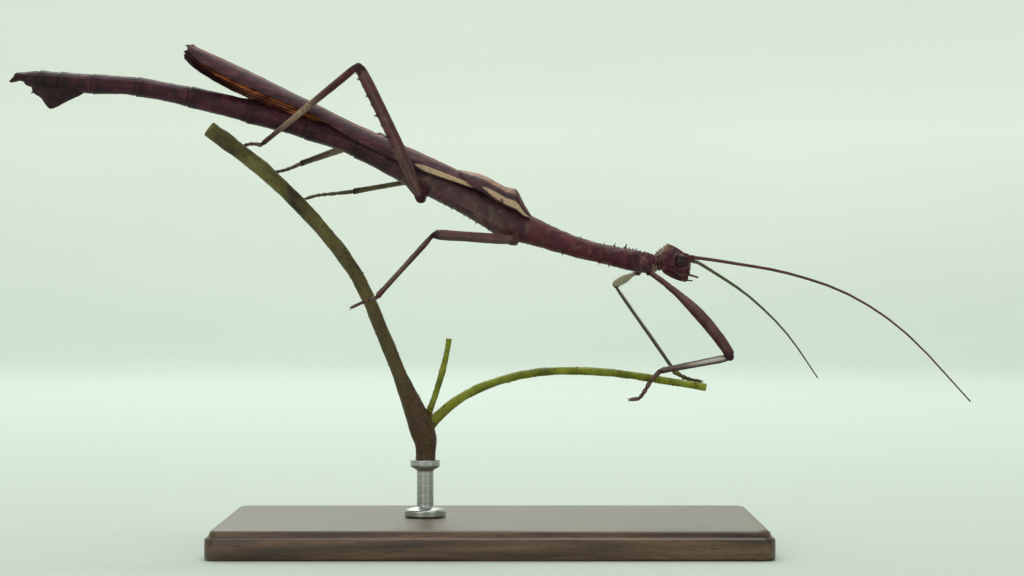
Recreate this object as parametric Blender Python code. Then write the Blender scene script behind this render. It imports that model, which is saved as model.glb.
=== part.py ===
"""A winged stick insect, life size, clinging to a forked twig on a plain display stand.

The insect faces +X, with its right side towards -Y. The origin is the middle of the base's
underside. Sizes are in millimetres and become metres where a mesh is made.
"""

import math

import bmesh
import bpy
import numpy as np

MM = 0.001
GAP = 0.12  # clearance between neighbouring solids
SLIT = 0.10  # half of the clearance between the left and right wings

# Stand: a flat plate, and one rod with a collar below and a cup round the cut stem.
BASE_LENGTH = 84.0
BASE_DEPTH = 50.0
BASE_HEIGHT = 4.5
BASE_EDGE = 0.8
ROD_X = -10.2
ROD_RADIUS = 1.3
COLLAR_RADIUS = 3.2
CUP_RADIUS = 2.3
STEM_FOOT_Z = 13.6

# The trunk's midline, tail first: x, z, half depth, half width.
TRUNK = (
    (-73.2, 72.5, 0.75, 0.80),
    (-70.0, 72.2, 1.35, 1.40),
    (-66.8, 71.9, 1.45, 1.50),
    (-61.7, 71.6, 1.42, 1.45),
    (-54.9, 71.2, 1.36, 1.40),
    (-46.7, 69.6, 1.49, 1.50),
    (-37.5, 67.4, 1.75, 1.80),
    (-28.4, 64.9, 1.80, 1.90),
    (-20.5, 62.1, 1.90, 2.00),
    (-12.6, 58.0, 2.10, 2.20),
    (-4.7, 54.1, 2.20, 2.40),
    (2.2, 50.4, 2.45, 2.60),
    (7.6, 48.3, 1.92, 2.00),
    (14.1, 46.0, 1.52, 1.55),
    (21.5, 44.4, 1.55, 1.50),
    (25.0, 43.5, 1.50, 1.40),
)
# Each trunk part, and the stations where it starts and ends on the midline.
TRUNK_PARTS = (
    ("abdomen_10", 0.0, 1.0),
    ("abdomen_9", 1.0, 2.0),
    ("abdomen_8", 2.0, 3.0),
    ("abdomen_7", 3.0, 4.0),
    ("abdomen_6", 4.0, 5.0),
    ("abdomen_5", 5.0, 6.0),
    ("abdomen_4", 6.0, 7.0),
    ("abdomen_3", 7.0, 8.0),
    ("abdomen_2", 8.0, 9.0),
    ("metathorax", 9.0, 10.8),
    ("mesothorax", 10.8, 14.0),
    ("prothorax", 14.0, 15.0),
)
RING_FLARE = 0.06  # how far a segment's rear rim stands out, as a share of its radius

# Keel-shaped plate under the tail: x, top z, bottom z, half width.
POCULUM = (
    (-71.2, 70.6, 70.1, 0.5),
    (-69.9, 70.6, 69.6, 1.0),
    (-68.6, 70.3, 67.8, 1.1),
    (-67.6, 70.2, 67.9, 1.2),
    (-65.4, 70.2, 69.0, 1.2),
    (-62.9, 70.1, 69.7, 0.8),
)

# Head, neck first: x, top z, bottom z, half width.
HEAD = (
    (25.3, 45.3, 42.7, 1.25),
    (26.6, 46.2, 42.6, 1.55),
    (27.4, 46.8, 42.5, 1.70),
    (28.2, 46.7, 42.1, 1.75),
    (29.2, 46.0, 41.5, 1.75),
    (30.0, 45.6, 41.3, 1.65),
    (30.7, 45.2, 41.8, 1.30),
    (31.0, 44.5, 43.0, 0.75),
)
HEAD_TOP_PINCH = 0.45  # how much narrower the crown is than the cheeks
EYE_CENTRE = (29.45, 1.45, 44.15)
EYE_RADII = (1.0, 0.62, 1.05)

# Paths of the feelers: x, distance from the middle plane, z, radius.
ANTENNAE = {
    "antenna_right": (
        (30.3, -0.85, 44.8, 0.42),
        (32.8, -1.05, 44.55, 0.38),
        (38.0, -1.3, 43.75, 0.28),
        (46.0, -1.6, 42.25, 0.26),
        (55.2, -2.2, 39.0, 0.25),
        (64.1, -3.0, 32.9, 0.25),
        (74.1, -4.0, 22.1, 0.25),
    ),
    "antenna_left": (
        (30.3, 0.75, 44.5, 0.42),
        (31.9, 2.1, 44.1, 0.38),
        (35.0, 7.0, 42.5, 0.28),
        (41.6, 17.0, 38.5, 0.26),
        (48.8, 30.0, 32.4, 0.25),
        (55.8, 46.0, 24.3, 0.25),
    ),
}
PALP = ((29.9, 0.75, 42.2, 0.26), (31.2, 0.95, 41.9, 0.26), (32.2, 1.05, 41.6, 0.25))
MOUTH = ((29.0, 0.0, 42.0, 0.75), (29.9, 0.0, 41.55, 0.7), (30.7, 0.0, 41.8, 0.4))
CERCUS = ((-71.8, 0.45, 72.9, 0.35), (-73.4, 0.7, 72.5, 0.3), (-74.6, 0.75, 71.9, 0.25))

# Forewing: x, z of the ridge, depth, reach from the middle plane, thickness.
TEGMEN = (
    (6.2, 51.3, 0.6, 1.9, 0.50),
    (5.0, 53.3, 2.3, 2.7, 0.55),
    (4.0, 55.3, 3.4, 3.0, 0.60),
    (2.2, 55.7, 3.1, 3.15, 0.60),
    (-0.6, 57.3, 3.0, 3.2, 0.60),
    (-3.0, 58.2, 2.2, 3.0, 0.55),
    (-5.0, 58.9, 0.8, 1.9, 0.50),
)
# Leathery front band of the hindwing, in the same terms.
HINDWING = (
    (-1.0, 56.2, 1.6, 2.3, 0.55),
    (-5.1, 58.3, 2.2, 2.75, 0.65),
    (-11.8, 61.4, 3.0, 2.95, 0.70),
    (-21.9, 65.9, 2.7, 2.85, 0.65),
    (-27.0, 68.5, 1.9, 2.75, 0.60),
    (-30.8, 70.35, 2.2, 2.70, 0.60),
    (-38.0, 73.9, 2.6, 2.60, 0.60),
    (-44.6, 76.9, 2.3, 2.20, 0.60),
    (-46.9, 77.8, 1.2, 1.60, 0.50),
)
# Folded fan that hangs below the band: x, top z, bottom z, reach, thickness.
WING_FAN = (
    (-25.2, 65.8, 65.2, 2.60, 0.55),
    (-30.8, 68.05, 66.9, 2.55, 1.00),
    (-38.0, 71.15, 69.6, 2.45, 1.10),
    (-43.0, 73.6, 72.1, 2.20, 1.00),
    (-46.5, 76.1, 74.4, 1.75, 0.80),
    (-47.6, 76.4, 75.7, 1.45, 0.60),
)

# Legs: hip, knee, ankle and the points of the foot.
LEGS = {
    "front_right": ((24.2, -2.0, 42.6), (36.2, -13.3, 29.6), (26.5, 5.0, 27.0),
                    (24.9, 5.3, 25.2), (23.3, 5.5, 22.7), (21.6, 6.0, 22.6)),
    "front_left": ((22.9, 2.0, 42.5), (20.0, 22.6, 40.5), (29.0, 8.6, 26.8),
                   (30.2, 8.15, 26.0), (31.6, 8.1, 25.5), (33.2, 8.25, 25.2)),
    "middle_right": ((3.6, -2.9, 47.4), (-8.4, -17.0, 48.0), (-17.6, -2.4, 38.6),
                     (-18.6, -2.0, 38.2), (-20.0, -1.95, 37.7), (-21.7, -1.4, 36.9)),
    "middle_left": ((3.6, 2.9, 47.4), (-7.2, 17.0, 58.2), (-21.8, 2.5, 55.0),
                    (-24.5, 2.3, 54.7), (-27.2, 2.0, 54.4), (-29.1, 1.7, 53.8)),
    "hind_right": ((-10.8, -3.0, 53.9), (-19.9, -12.0, 73.6), (-35.6, -0.3, 62.2),
                   (-37.2, 0.9, 62.4), (-38.6, 1.6, 62.1), (-40.2, 1.95, 61.3)),
    "hind_left": ((-10.9, 3.0, 54.0), (-18.2, 20.0, 64.7), (-30.2, 5.2, 59.4),
                  (-31.4, 3.5, 58.7), (-33.3, 1.9, 58.1), (-35.2, 1.95, 58.3)),
}
# Where each pair's coxae leave the trunk.
COXA_ROOTS = {"front": (23.3, 0.7, 44.2), "middle": (3.7, 1.1, 49.0), "hind": (-10.4, 1.1, 56.0)}
COXA_RADII = {"front": 1.05, "middle": 1.15, "hind": 1.05}
# How far the middle of a bent femur stands off the straight line from hip to knee.
FEMUR_BOWS = {"front_right": (0.65, -0.3, 0.65), "hind_right": (0.15, 0.0, 0.1)}
# Half thicknesses along each leg part, from its root to its end.
FEMUR_RADII = {
    "front": (0.50, 0.50, 0.62, 0.95, 1.00, 0.92, 0.60),
    "middle": (0.65, 0.66, 0.64, 0.62, 0.60, 0.52),
    "hind": (0.75, 0.90, 0.95, 0.90, 0.80, 0.60),
}
TIBIA_RADII = {
    "front": (0.42, 0.40, 0.40, 0.40, 0.38),
    "middle": (0.42, 0.38, 0.36, 0.36, 0.38),
    "hind": (0.52, 0.50, 0.46, 0.42, 0.40),
}
FOOT_RADIUS = 0.30

# Stem, top first, and the twig from its fork: x, y, z, radius.
STEM = (
    (-43.8, 0.0, 64.7, 1.25),
    (-35.4, 0.0, 58.4, 1.18),
    (-27.2, 0.0, 50.3, 1.14),
    (-21.0, 0.0, 42.3, 1.10),
    (-17.3, 0.0, 34.3, 1.08),
    (-14.0, 0.0, 26.2, 1.15),
    (-10.9, 0.0, 18.9, 2.00),
    (-10.2, 0.0, 15.4, 1.60),
    (ROD_X, 0.0, STEM_FOOT_Z, 1.50),
)
TWIG = (
    (-10.8, 0.0, 17.4, 0.95),
    (-6.5, 1.0, 21.7, 0.75),
    (-1.7, 2.2, 24.5, 0.68),
    (4.5, 3.4, 26.35, 0.65),
    (10.8, 4.6, 27.05, 0.62),
    (18.8, 5.8, 26.7, 0.60),
    (25.0, 6.5, 25.8, 0.60),
    (34.0, 7.1, 24.3, 0.58),
)

# Short cut shoot that rises from the same fork.
SPUR = (
    (-10.4, 0.0, 18.6, 0.65),
    (-9.3, 0.1, 21.6, 0.50),
    (-8.2, 0.2, 24.8, 0.46),
    (-7.0, 0.2, 29.1, 0.44),
    (-6.5, 0.2, 32.2, 0.42),
)

# Finishes: colour, roughness, metallic.
FINISHES = {
    "cuticle": ((0.115, 0.048, 0.040), 0.55, 0.0),
    "wing_brown": ((0.120, 0.060, 0.045), 0.50, 0.0),
    "wing_fan": ((0.420, 0.085, 0.035), 0.45, 0.0),
    "eye": ((0.030, 0.016, 0.018), 0.15, 0.0),
    "bark": ((0.150, 0.140, 0.035), 0.60, 0.0),
    "base_wood": ((0.120, 0.060, 0.030), 0.45, 0.0),
    "rod_steel": ((0.600, 0.600, 0.590), 0.30, 1.0),
}


def finish(name):
    """Return the material of one finish, made once."""
    found = bpy.data.materials.get(name)
    if found:
        return found
    colour, roughness, metallic = FINISHES[name]
    made = bpy.data.materials.new(name)
    made.use_nodes = True
    shader = made.node_tree.nodes["Principled BSDF"]
    shader.inputs["Base Color"].default_value = (*colour, 1.0)
    shader.inputs["Roughness"].default_value = roughness
    shader.inputs["Metallic"].default_value = metallic
    return made


def smooth(rows, at):
    """Read a smooth curve through the rows of numbers at the place at, counted in rows."""
    rows = np.array(rows, dtype=float)
    last = len(rows) - 1
    index = min(int(at), last - 1)
    t = at - index
    before = rows[index - 1] if index > 0 else 2 * rows[0] - rows[1]
    after = rows[index + 2] if index + 2 <= last else 2 * rows[last] - rows[last - 1]
    start, end = rows[index], rows[index + 1]
    return 0.5 * (
        2 * start
        + (end - before) * t
        + (2 * before - 5 * start + 4 * end - after) * t**2
        + (3 * start - 3 * end + after - before) * t**3
    )


def sampled(rows, steps):
    """Return the curve through rows with so many steps between neighbours."""
    count = (len(rows) - 1) * steps
    return [smooth(rows, i / steps) for i in range(count + 1)]


def loft(rings):
    """Join rings of points, each turning the same way, into one closed bmesh."""
    bm = bmesh.new()
    loops = [[bm.verts.new([c * MM for c in point]) for point in ring] for ring in rings]
    for one, two in zip(loops, loops[1:]):
        count = len(one)
        for i in range(count):
            j = (i + 1) % count
            bm.faces.new((one[i], one[j], two[j], two[i]))
    bm.faces.new(loops[0][::-1])
    bm.faces.new(loops[-1])
    bmesh.ops.recalc_face_normals(bm, faces=bm.faces)
    bmesh.ops.triangulate(bm, faces=bm.faces)
    return bm


def tube(rows, sides, grow=0.0):
    """Loft round rings along rows of x, y, z and radius; grow widens and lengthens it."""
    rows = [np.array(row, dtype=float) for row in rows]
    points = [row[:3] for row in rows]
    rings = []
    side = None
    for i, row in enumerate(rows):
        along = points[min(i + 1, len(rows) - 1)] - points[max(i - 1, 0)]
        along = along / np.linalg.norm(along)
        hint = np.array((0.0, 1.0, 0.0)) if abs(along[1]) < 0.9 else np.array((1.0, 0.0, 0.0))
        side = hint if side is None else side
        side = side - along * side.dot(along)
        side = side / np.linalg.norm(side)
        up = np.cross(along, side)
        middle = points[i]
        if i == 0:
            middle = middle - along * grow
        if i == len(rows) - 1:
            middle = middle + along * grow
        radius = row[3] + grow
        rings.append(
            [
                middle
                + side * radius * math.cos(math.tau * k / sides)
                + up * radius * math.sin(math.tau * k / sides)
                for k in range(sides)
            ]
        )
    return loft(rings)


def blunt(rows):
    """Round both ends of rows of x, y, z and radius with one narrower ring each."""
    rows = [np.array(row, dtype=float) for row in rows]
    ends = []
    for tip, inner in ((rows[0], rows[1]), (rows[-1], rows[-2])):
        outward = tip[:3] - inner[:3]
        outward = outward / np.linalg.norm(outward)
        ends.append(np.append(tip[:3] + outward * tip[3] * 0.6, tip[3] * 0.55))
    return [ends[0], *rows, ends[1]]


def trunk_part(start, end, grow=0.0, sides=12):
    """Loft one part of the trunk between two stations, with its rear rim flared."""
    spans = max(2, math.ceil((end - start) * 2.5))
    rings = []
    for i in range(spans + 1):
        share = i / spans
        at = start + (end - start) * share
        x, z, depth, width = smooth(TRUNK, at)
        ahead = smooth(TRUNK, min(at + 0.05, len(TRUNK) - 1))
        behind = smooth(TRUNK, max(at - 0.05, 0))
        along = np.array((ahead[0] - behind[0], ahead[1] - behind[1]))
        along = along / np.linalg.norm(along)
        trim = GAP / 2 - grow
        shift = trim if i == 0 else -trim if i == spans else 0.0
        x, z = x + along[0] * shift, z + along[1] * shift
        flare = 1 + RING_FLARE * (1 - share) ** 3 - RING_FLARE * 0.5 * share**3
        ring = []
        for k in range(sides):
            turn = math.tau * k / sides
            rise = (depth * flare + grow) * math.sin(turn)
            ring.append((x - along[1] * rise, (width * flare + grow) * math.cos(turn), z + along[0] * rise))
        rings.append(ring)
    return loft(rings)


def head(grow=0.0, sides=14):
    """Loft the head with a narrow crown and full cheeks."""
    rings = []
    for i, (x, top, bottom, width) in enumerate(HEAD):
        x += -grow if i == 0 else grow if i == len(HEAD) - 1 else 0.0
        ring = []
        for k in range(sides):
            turn = math.tau * k / sides
            rise = math.sin(turn)
            pinch = 1 - HEAD_TOP_PINCH * max(rise, 0.0) ** 2
            middle, half = (top + bottom) / 2, (top - bottom) / 2 + grow
            ring.append((x, (width + grow) * pinch * math.cos(turn), middle + half * rise))
        rings.append(ring)
    return loft(rings)


def poculum(grow=0.0):
    """Loft the keel-shaped plate under the tail."""
    rings = []
    for x, top, bottom, width in POCULUM:
        middle = (top + bottom) / 2
        half = [(width, top), (width * 0.85, middle), (0.28, bottom)]
        ring = [(x, y, z) for y, z in half] + [(x, -y, z) for y, z in reversed(half)]
        rings.append(ring)
    return loft(rings)


def eye(side, grow=0.0):
    """Make one eye, a flattened ball on the side of the head."""
    bm = bmesh.new()
    bmesh.ops.create_uvsphere(bm, u_segments=14, v_segments=8, radius=1.0)
    for vert in bm.verts:
        for axis in range(3):
            middle = EYE_CENTRE[axis] * (side if axis == 1 else 1)
            vert.co[axis] = (middle + vert.co[axis] * (EYE_RADII[axis] + grow)) * MM
    bmesh.ops.recalc_face_normals(bm, faces=bm.faces)
    return bm


def wing_roof(rows, side, steps=1, grow=0.0, points=6):
    """Loft a curved plate that slopes from the back's middle line down the side."""
    rings = []
    stations = sampled(rows, steps)
    for i, (x, ridge, depth, reach, thick) in enumerate(stations):
        x += grow if i == 0 else -grow if i == len(stations) - 1 else 0.0
        eave = ridge - depth - grow
        hollow = depth - min(thick, depth * 0.9)
        outer, inner = [], []
        for k in range(points):
            turn = math.pi / 2 * k / (points - 1)
            outer.append(((reach + grow) * math.cos(turn), eave + (depth + 2 * grow) * math.sin(turn)))
            inner.append(((reach - thick - grow) * math.cos(turn), eave + hollow * math.sin(turn)))
        outline = outer + inner[::-1]
        rings.append([(x, side * max(y, SLIT - grow), z) for y, z in outline])
    return loft(rings)


def wing_fan(side, steps=1):
    """Loft the folded rear fan that hangs below the hindwing's front band."""
    rings = []
    for x, top, bottom, reach, thick in sampled(WING_FAN, steps):
        middle = (top + bottom) / 2
        outline = (
            (reach, top),
            (reach, middle),
            (reach - 0.3, bottom),
            (reach - thick, bottom + 0.2),
            (reach - thick - 0.1, middle + 0.2),
            (reach - thick, top + 0.1),
        )
        rings.append([(x, side * y, z) for y, z in outline])
    return loft(rings)


def limb(start, end, radii, bow=(0.0, 0.0, 0.0)):
    """Return rows of x, y, z and radius spaced evenly between two joints, bowed midway."""
    start, end, bow = np.array(start), np.array(end), np.array(bow)
    last = len(radii) - 1
    rows = []
    for i, radius in enumerate(radii):
        share = i / last
        place = start + (end - start) * share + bow * 4 * share * (1 - share)
        rows.append(np.append(place, radius))
    return rows


def mirrored(rows, side):
    """Return rows with their distance from the middle plane put on one side."""
    return [(x, side * y, z, radius) for x, y, z, radius in rows]


def turned(profile, x, sides=16):
    """Turn a profile of radius and z about an upright axis at x."""
    rings = [
        [
            (x + radius * math.cos(math.tau * k / sides), radius * math.sin(math.tau * k / sides), z)
            for k in range(sides)
        ]
        for radius, z in profile
    ]
    return loft(rings)


def add(name, bm, material, cutters=()):
    """Add one solid, less every cutter, smooth on its round faces."""
    mesh = bpy.data.meshes.new(name)
    bm.to_mesh(mesh)
    bm.free()
    made = bpy.data.objects.new(name, mesh)
    bpy.context.collection.objects.link(made)
    for cutter in cutters:
        cut(made, cutter)
    made.data.materials.clear()
    made.data.materials.append(finish(material))
    made.data.shade_smooth()
    made.data.set_sharp_from_angle(angle=math.radians(50))
    return made


def cut(target, cutter):
    """Take the cutter's bmesh out of the target, and drop specks that the cut leaves."""
    mesh = bpy.data.meshes.new("cutter")
    cutter.to_mesh(mesh)
    cutter.free()
    tool = bpy.data.objects.new("cutter", mesh)
    bpy.context.collection.objects.link(tool)
    boolean = target.modifiers.new("cut", "BOOLEAN")
    boolean.operation = "DIFFERENCE"
    boolean.object = tool
    seen = target.evaluated_get(bpy.context.evaluated_depsgraph_get())
    result = bpy.data.meshes.new_from_object(seen)
    target.modifiers.clear()
    target.data = result
    bpy.data.objects.remove(tool)
    keep_largest(result)


def keep_largest(mesh):
    """Leave only the biggest connected piece of a mesh."""
    bm = bmesh.new()
    bm.from_mesh(mesh)
    waiting = set(bm.verts)
    pieces = []
    while waiting:
        piece, edge = set(), [waiting.pop()]
        while edge:
            vert = edge.pop()
            piece.add(vert)
            for link in vert.link_edges:
                other = link.other_vert(vert)
                if other in waiting:
                    waiting.discard(other)
                    edge.append(other)
        pieces.append(piece)
    largest = max(pieces, key=len)
    spare = [vert for vert in bm.verts if vert not in largest]
    bmesh.ops.delete(bm, geom=spare, context="VERTS")
    bm.to_mesh(mesh)
    bm.free()


def add_stand():
    """Add the base plate and the rod that holds the cut stem."""
    bm = bmesh.new()
    bmesh.ops.create_cube(bm, size=1.0)
    for vert in bm.verts:
        vert.co.x *= BASE_LENGTH * MM
        vert.co.y *= BASE_DEPTH * MM
        vert.co.z = (vert.co.z + 0.5) * BASE_HEIGHT * MM
    bmesh.ops.bevel(bm, geom=bm.edges, offset=BASE_EDGE * MM, segments=2, affect="EDGES", profile=0.5)
    add("stand_base", bm, "base_wood")
    foot = BASE_HEIGHT + GAP
    cup_floor = STEM_FOOT_Z - 2 * GAP
    profile = (
        (COLLAR_RADIUS, foot),
        (COLLAR_RADIUS, foot + 0.9),
        (COLLAR_RADIUS - 0.4, foot + 1.2),
        (ROD_RADIUS, foot + 1.5),
        (ROD_RADIUS, cup_floor - 1.6),
        (CUP_RADIUS, cup_floor - 1.0),
        (CUP_RADIUS, cup_floor),
    )
    add("stand_rod", turned(profile, ROD_X), "rod_steel")


def add_perch():
    """Add the cut stem, and the twig and the cut shoot that leave it at the fork."""
    stem = sampled(STEM, 2)
    add("perch_stem", tube(stem, 10), "bark")
    twig = sampled(TWIG, 2)
    add("perch_twig", tube(twig, 8), "bark", [tube(stem, 10, GAP)])
    add("perch_spur", tube(sampled(SPUR, 2), 8), "bark", [tube(stem, 10, GAP), tube(twig, 8, GAP)])


def add_trunk():
    """Add the abdomen's segments, the tail's plate and feelers, and the thorax."""
    for name, start, end in TRUNK_PARTS:
        add(name, trunk_part(start, end), "cuticle")
    tail_end = trunk_part(0.0, 1.0, GAP)
    add("poculum", poculum(), "cuticle", [tail_end, trunk_part(1.0, 2.0, GAP), trunk_part(2.0, 3.0, GAP)])
    for name, side in (("cercus_left", 1), ("cercus_right", -1)):
        add(name, tube(mirrored(CERCUS, side), 6), "cuticle", [trunk_part(0.0, 1.0, GAP)])


def add_head():
    """Add the head with its eyes, feelers and mouthparts."""
    add("head", head(), "cuticle", [eye(1, GAP), eye(-1, GAP), trunk_part(14.0, 15.0, GAP)])
    add("mouthparts", tube(blunt(MOUTH), 8), "cuticle", [head(GAP)])
    for label, side in (("left", 1), ("right", -1)):
        add(f"eye_{label}", eye(side), "eye")
        mouth = tube(blunt(MOUTH), 8, GAP)
        add(f"palp_{label}", tube(mirrored(PALP, side), 6), "cuticle", [head(GAP), mouth])
        feeler = f"antenna_{label}"
        add(feeler, tube(sampled(ANTENNAE[feeler], 3), 6), "cuticle", [head(GAP), eye(side, GAP)])


def add_wings():
    """Add the forewings, and the hindwings with their folded fans."""
    for label, side in (("left", 1), ("right", -1)):
        thorax = [trunk_part(start, end, GAP) for name, start, end in TRUNK_PARTS if "thorax" in name]
        add(f"tegmen_{label}", wing_roof(TEGMEN, side, 2), "wing_brown", thorax)
        cover = wing_roof(TEGMEN, side, 2, GAP)
        add(f"hindwing_{label}", wing_roof(HINDWING, side, 2), "wing_brown", [cover])
        add(f"wing_fan_{label}", wing_fan(side, 2), "wing_fan", [wing_roof(HINDWING, side, 2, GAP)])


def add_leg(leg):
    """Add one leg's coxa, femur, tibia and tarsus, each cut clear of the part before it."""
    pair, label = leg.split("_")
    side = 1 if label == "left" else -1
    hip, knee, ankle, *toes = LEGS[leg]
    x, y, z = COXA_ROOTS[pair]
    thick = COXA_RADII[pair]
    coxa = limb((x, side * y, z), hip, (thick, thick, thick * 0.95, thick * 0.75))
    femur = blunt(limb(hip, knee, FEMUR_RADII[pair], FEMUR_BOWS.get(leg, (0.0, 0.0, 0.0))))
    tibia = limb(knee, ankle, TIBIA_RADII[pair])
    foot = [np.append(point, FOOT_RADIUS) for point in (ankle, *toes)]
    body = [trunk_part(start, end, GAP) for name, start, end in TRUNK_PARTS if "thorax" in name]
    add(f"coxa_{leg}", tube(blunt(coxa), 8), "cuticle", [*body, tube(femur, 8, GAP)])
    add(f"femur_{leg}", tube(femur, 8), "cuticle")
    add(f"tibia_{leg}", tube(tibia, 8), "cuticle", [tube(femur, 8, GAP)])
    add(f"tarsus_{leg}", tube(sampled(foot, 2), 6), "cuticle", [tube(tibia, 8, GAP)])


def main():
    """Clear the file and build every sub-part."""
    for old in list(bpy.data.objects):
        bpy.data.objects.remove(old)
    add_stand()
    add_perch()
    add_trunk()
    add_head()
    add_wings()
    for leg in LEGS:
        add_leg(leg)


main()
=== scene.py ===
"""Looks of a winged stick insect that clings to a forked twig on a plain display stand.

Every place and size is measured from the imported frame. Lengths here are millimetres, and
they become metres where a mesh is made. The insect faces +X with its right side to -Y.
"""

import logging
import math
from dataclasses import dataclass, field
from enum import Enum, StrEnum
from typing import Callable, Sequence

import bmesh
import bpy
import numpy as np
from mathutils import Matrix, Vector


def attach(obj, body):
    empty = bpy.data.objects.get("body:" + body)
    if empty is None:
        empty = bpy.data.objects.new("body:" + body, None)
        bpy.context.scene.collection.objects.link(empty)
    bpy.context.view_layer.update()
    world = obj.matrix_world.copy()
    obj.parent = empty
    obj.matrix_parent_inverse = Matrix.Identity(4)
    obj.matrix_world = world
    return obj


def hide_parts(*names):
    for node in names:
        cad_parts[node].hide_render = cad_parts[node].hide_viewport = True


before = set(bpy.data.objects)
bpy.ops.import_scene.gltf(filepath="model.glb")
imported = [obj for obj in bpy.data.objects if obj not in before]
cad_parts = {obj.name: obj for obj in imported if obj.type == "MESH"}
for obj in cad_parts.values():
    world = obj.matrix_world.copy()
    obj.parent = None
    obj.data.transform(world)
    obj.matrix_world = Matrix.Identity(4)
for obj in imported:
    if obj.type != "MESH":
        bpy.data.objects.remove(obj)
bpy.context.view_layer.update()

LOG = logging.getLogger("stick_insect")
MM = 0.001
X_AXIS = np.array((1.0, 0.0, 0.0))
Y_AXIS = np.array((0.0, 1.0, 0.0))
Z_AXIS = np.array((0.0, 0.0, 1.0))
# Colour values that every mesh carries per point; the last one holds pale dust and also the painted
# highlight (gleam) on the shins.
VALUES = ("dark", "pale", "warm", "vein", "dust")

Array = np.ndarray
Colour = tuple[float, float, float]
Place = Array | tuple[float, float, float]
Rows = tuple[tuple[float, float, float], ...]
Numbers = tuple[float, ...]
Looks = dict[str, Array]
Thing = bpy.types.Object
Socket = bpy.types.NodeSocket
Material = bpy.types.Material

# Large numbers that scramble a lattice corner and a seed into an even spread of values.
SCRAMBLE_PLACE = (73856093, 19349663, 83492791)
SCRAMBLE_SEED = (40503, 977)
SCRAMBLE_AGAIN = 1274126177


class Side(StrEnum):
    """The insect's two sides."""

    LEFT = "left"
    RIGHT = "right"

    @property
    def way(self) -> float:
        """Return the sign of Y on this side."""
        return 1.0 if self is Side.LEFT else -1.0


# ---- numbers


def unit(vector: Array) -> Array:
    """Return the vector at length one."""
    return vector / np.linalg.norm(vector)


def hump(values: Array, middle: float, reach: float) -> Array:
    """Return a smooth hump of height one round middle."""
    return np.exp(-(((values - middle) / reach) ** 2))


def dome(points: Array, place: Place, reach: float) -> Array:
    """Return a smooth dome of height one round a place."""
    return np.exp(-((points - np.array(place)) ** 2).sum(axis=-1) / reach**2)


def rising(values: Array, middle: float, reach: float) -> Array:
    """Return a smooth step from 0 to 1 round middle."""
    return 0.5 + 0.5 * np.tanh((values - middle) / reach)


def spline(rows: Array, at: Array) -> Array:
    """Read a smooth curve through rows at places counted in rows.

    Args:
        rows: One row of numbers per station.
        at: Places along the rows, from 0 to the last row.

    Returns:
        One row of numbers per place.
    """
    rows = np.asarray(rows, dtype=float)
    padded = np.vstack((2 * rows[0] - rows[1], rows, 2 * rows[-1] - rows[-2]))
    at = np.clip(np.asarray(at, dtype=float), 0, len(rows) - 1)
    index = np.minimum(at.astype(int), len(rows) - 2)
    t = (at - index)[:, None]
    before, start, end, after = (padded[index + k] for k in range(4))
    return 0.5 * (
        2 * start
        + (end - before) * t
        + (2 * before - 5 * start + 4 * end - after) * t**2
        + (3 * start - 3 * end + after - before) * t**3
    )


def lattice_noise(points: Array, size: float, seed: int = 0) -> Array:
    """Return smooth noise from -1 to 1 at points, with bumps about size apart."""
    place = np.asarray(points) / size
    cell = np.floor(place).astype(np.int64)
    share = place - cell
    share = share * share * (3 - 2 * share)
    total = np.zeros(place.shape[:-1])
    for corner in range(8):
        step = np.array((corner & 1, (corner >> 1) & 1, (corner >> 2) & 1))
        mixed = np.bitwise_xor.reduce((cell + step) * SCRAMBLE_PLACE, axis=-1)
        mixed = mixed ^ (seed * SCRAMBLE_SEED[0] + SCRAMBLE_SEED[1])
        mixed = ((mixed ^ (mixed >> 13)) * SCRAMBLE_AGAIN) & 0x7FFFFFFF
        value = ((mixed ^ (mixed >> 16)) & 0xFFFF) / 32767.5 - 1.0
        total += value * np.prod(np.where(step == 1, share, 1 - share), axis=-1)
    return total


def rough_noise(points: Array, size: float, octaves: int = 3, seed: int = 0) -> Array:
    """Return noise with finer and fainter layers on top of the first."""
    total = np.zeros(np.asarray(points).shape[:-1])
    for octave in range(octaves):
        total += lattice_noise(points, size / 2**octave, seed + octave) / 2**octave
    return total


def specks(points: Array, size: float, seed: int, least: float = 0.0) -> Array:
    """Return the part of smooth noise that rises above least, from 0 to 1."""
    return np.clip(lattice_noise(points, size, seed) - least, 0, 1)


def distances(points: Array) -> Array:
    """Return how far along their own path the points lie."""
    steps = np.linalg.norm(np.diff(points, axis=0), axis=1)
    return np.concatenate(((0.0,), np.cumsum(steps)))


def ring_turns(count: int) -> Array:
    """Return evenly spaced angles of one ring, as one row."""
    return np.linspace(-math.pi, math.pi, count, endpoint=False)[None, :]


def rounded(lengths: Array, start: float, end: float) -> Array:
    """Return the factor that rounds both ends of a swept body, as one column."""
    total = lengths[-1]
    factor = np.ones(len(lengths))
    for distance, reach in ((lengths, start), (total - lengths, end)):
        share = np.clip(distance / reach, 0.0, 1.0)
        factor *= np.sqrt(np.clip(1 - (1 - share) ** 2, 0.0004, 1.0))
    return factor[:, None]


def fine_places(total: float, step: float, tip: float = 0.0) -> Array:
    """Return places from 0 to total about step apart, and closer together at the tips."""
    even = np.linspace(0.0, total, max(4, int(total / step)))
    if tip <= 0:
        return even
    close = tip * (1 - np.cos(np.linspace(0, math.pi / 2, 7)))
    return np.unique(np.round(np.concatenate((close, even, total - close)), 5))


def refine(rows: Array, places: Array, step: float, tip: float = 0.0) -> Array:
    """Return a smooth row of numbers about every step.

    Args:
        rows: One row of numbers per station.
        places: Where the stations are, in rising order.
        step: Distance between the new rows.
        tip: Reach of the closer rows at both ends.
    """
    wanted = places[0] + fine_places(places[-1] - places[0], step, tip)
    return spline(rows, np.interp(wanted, places, np.arange(len(rows))))


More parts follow.
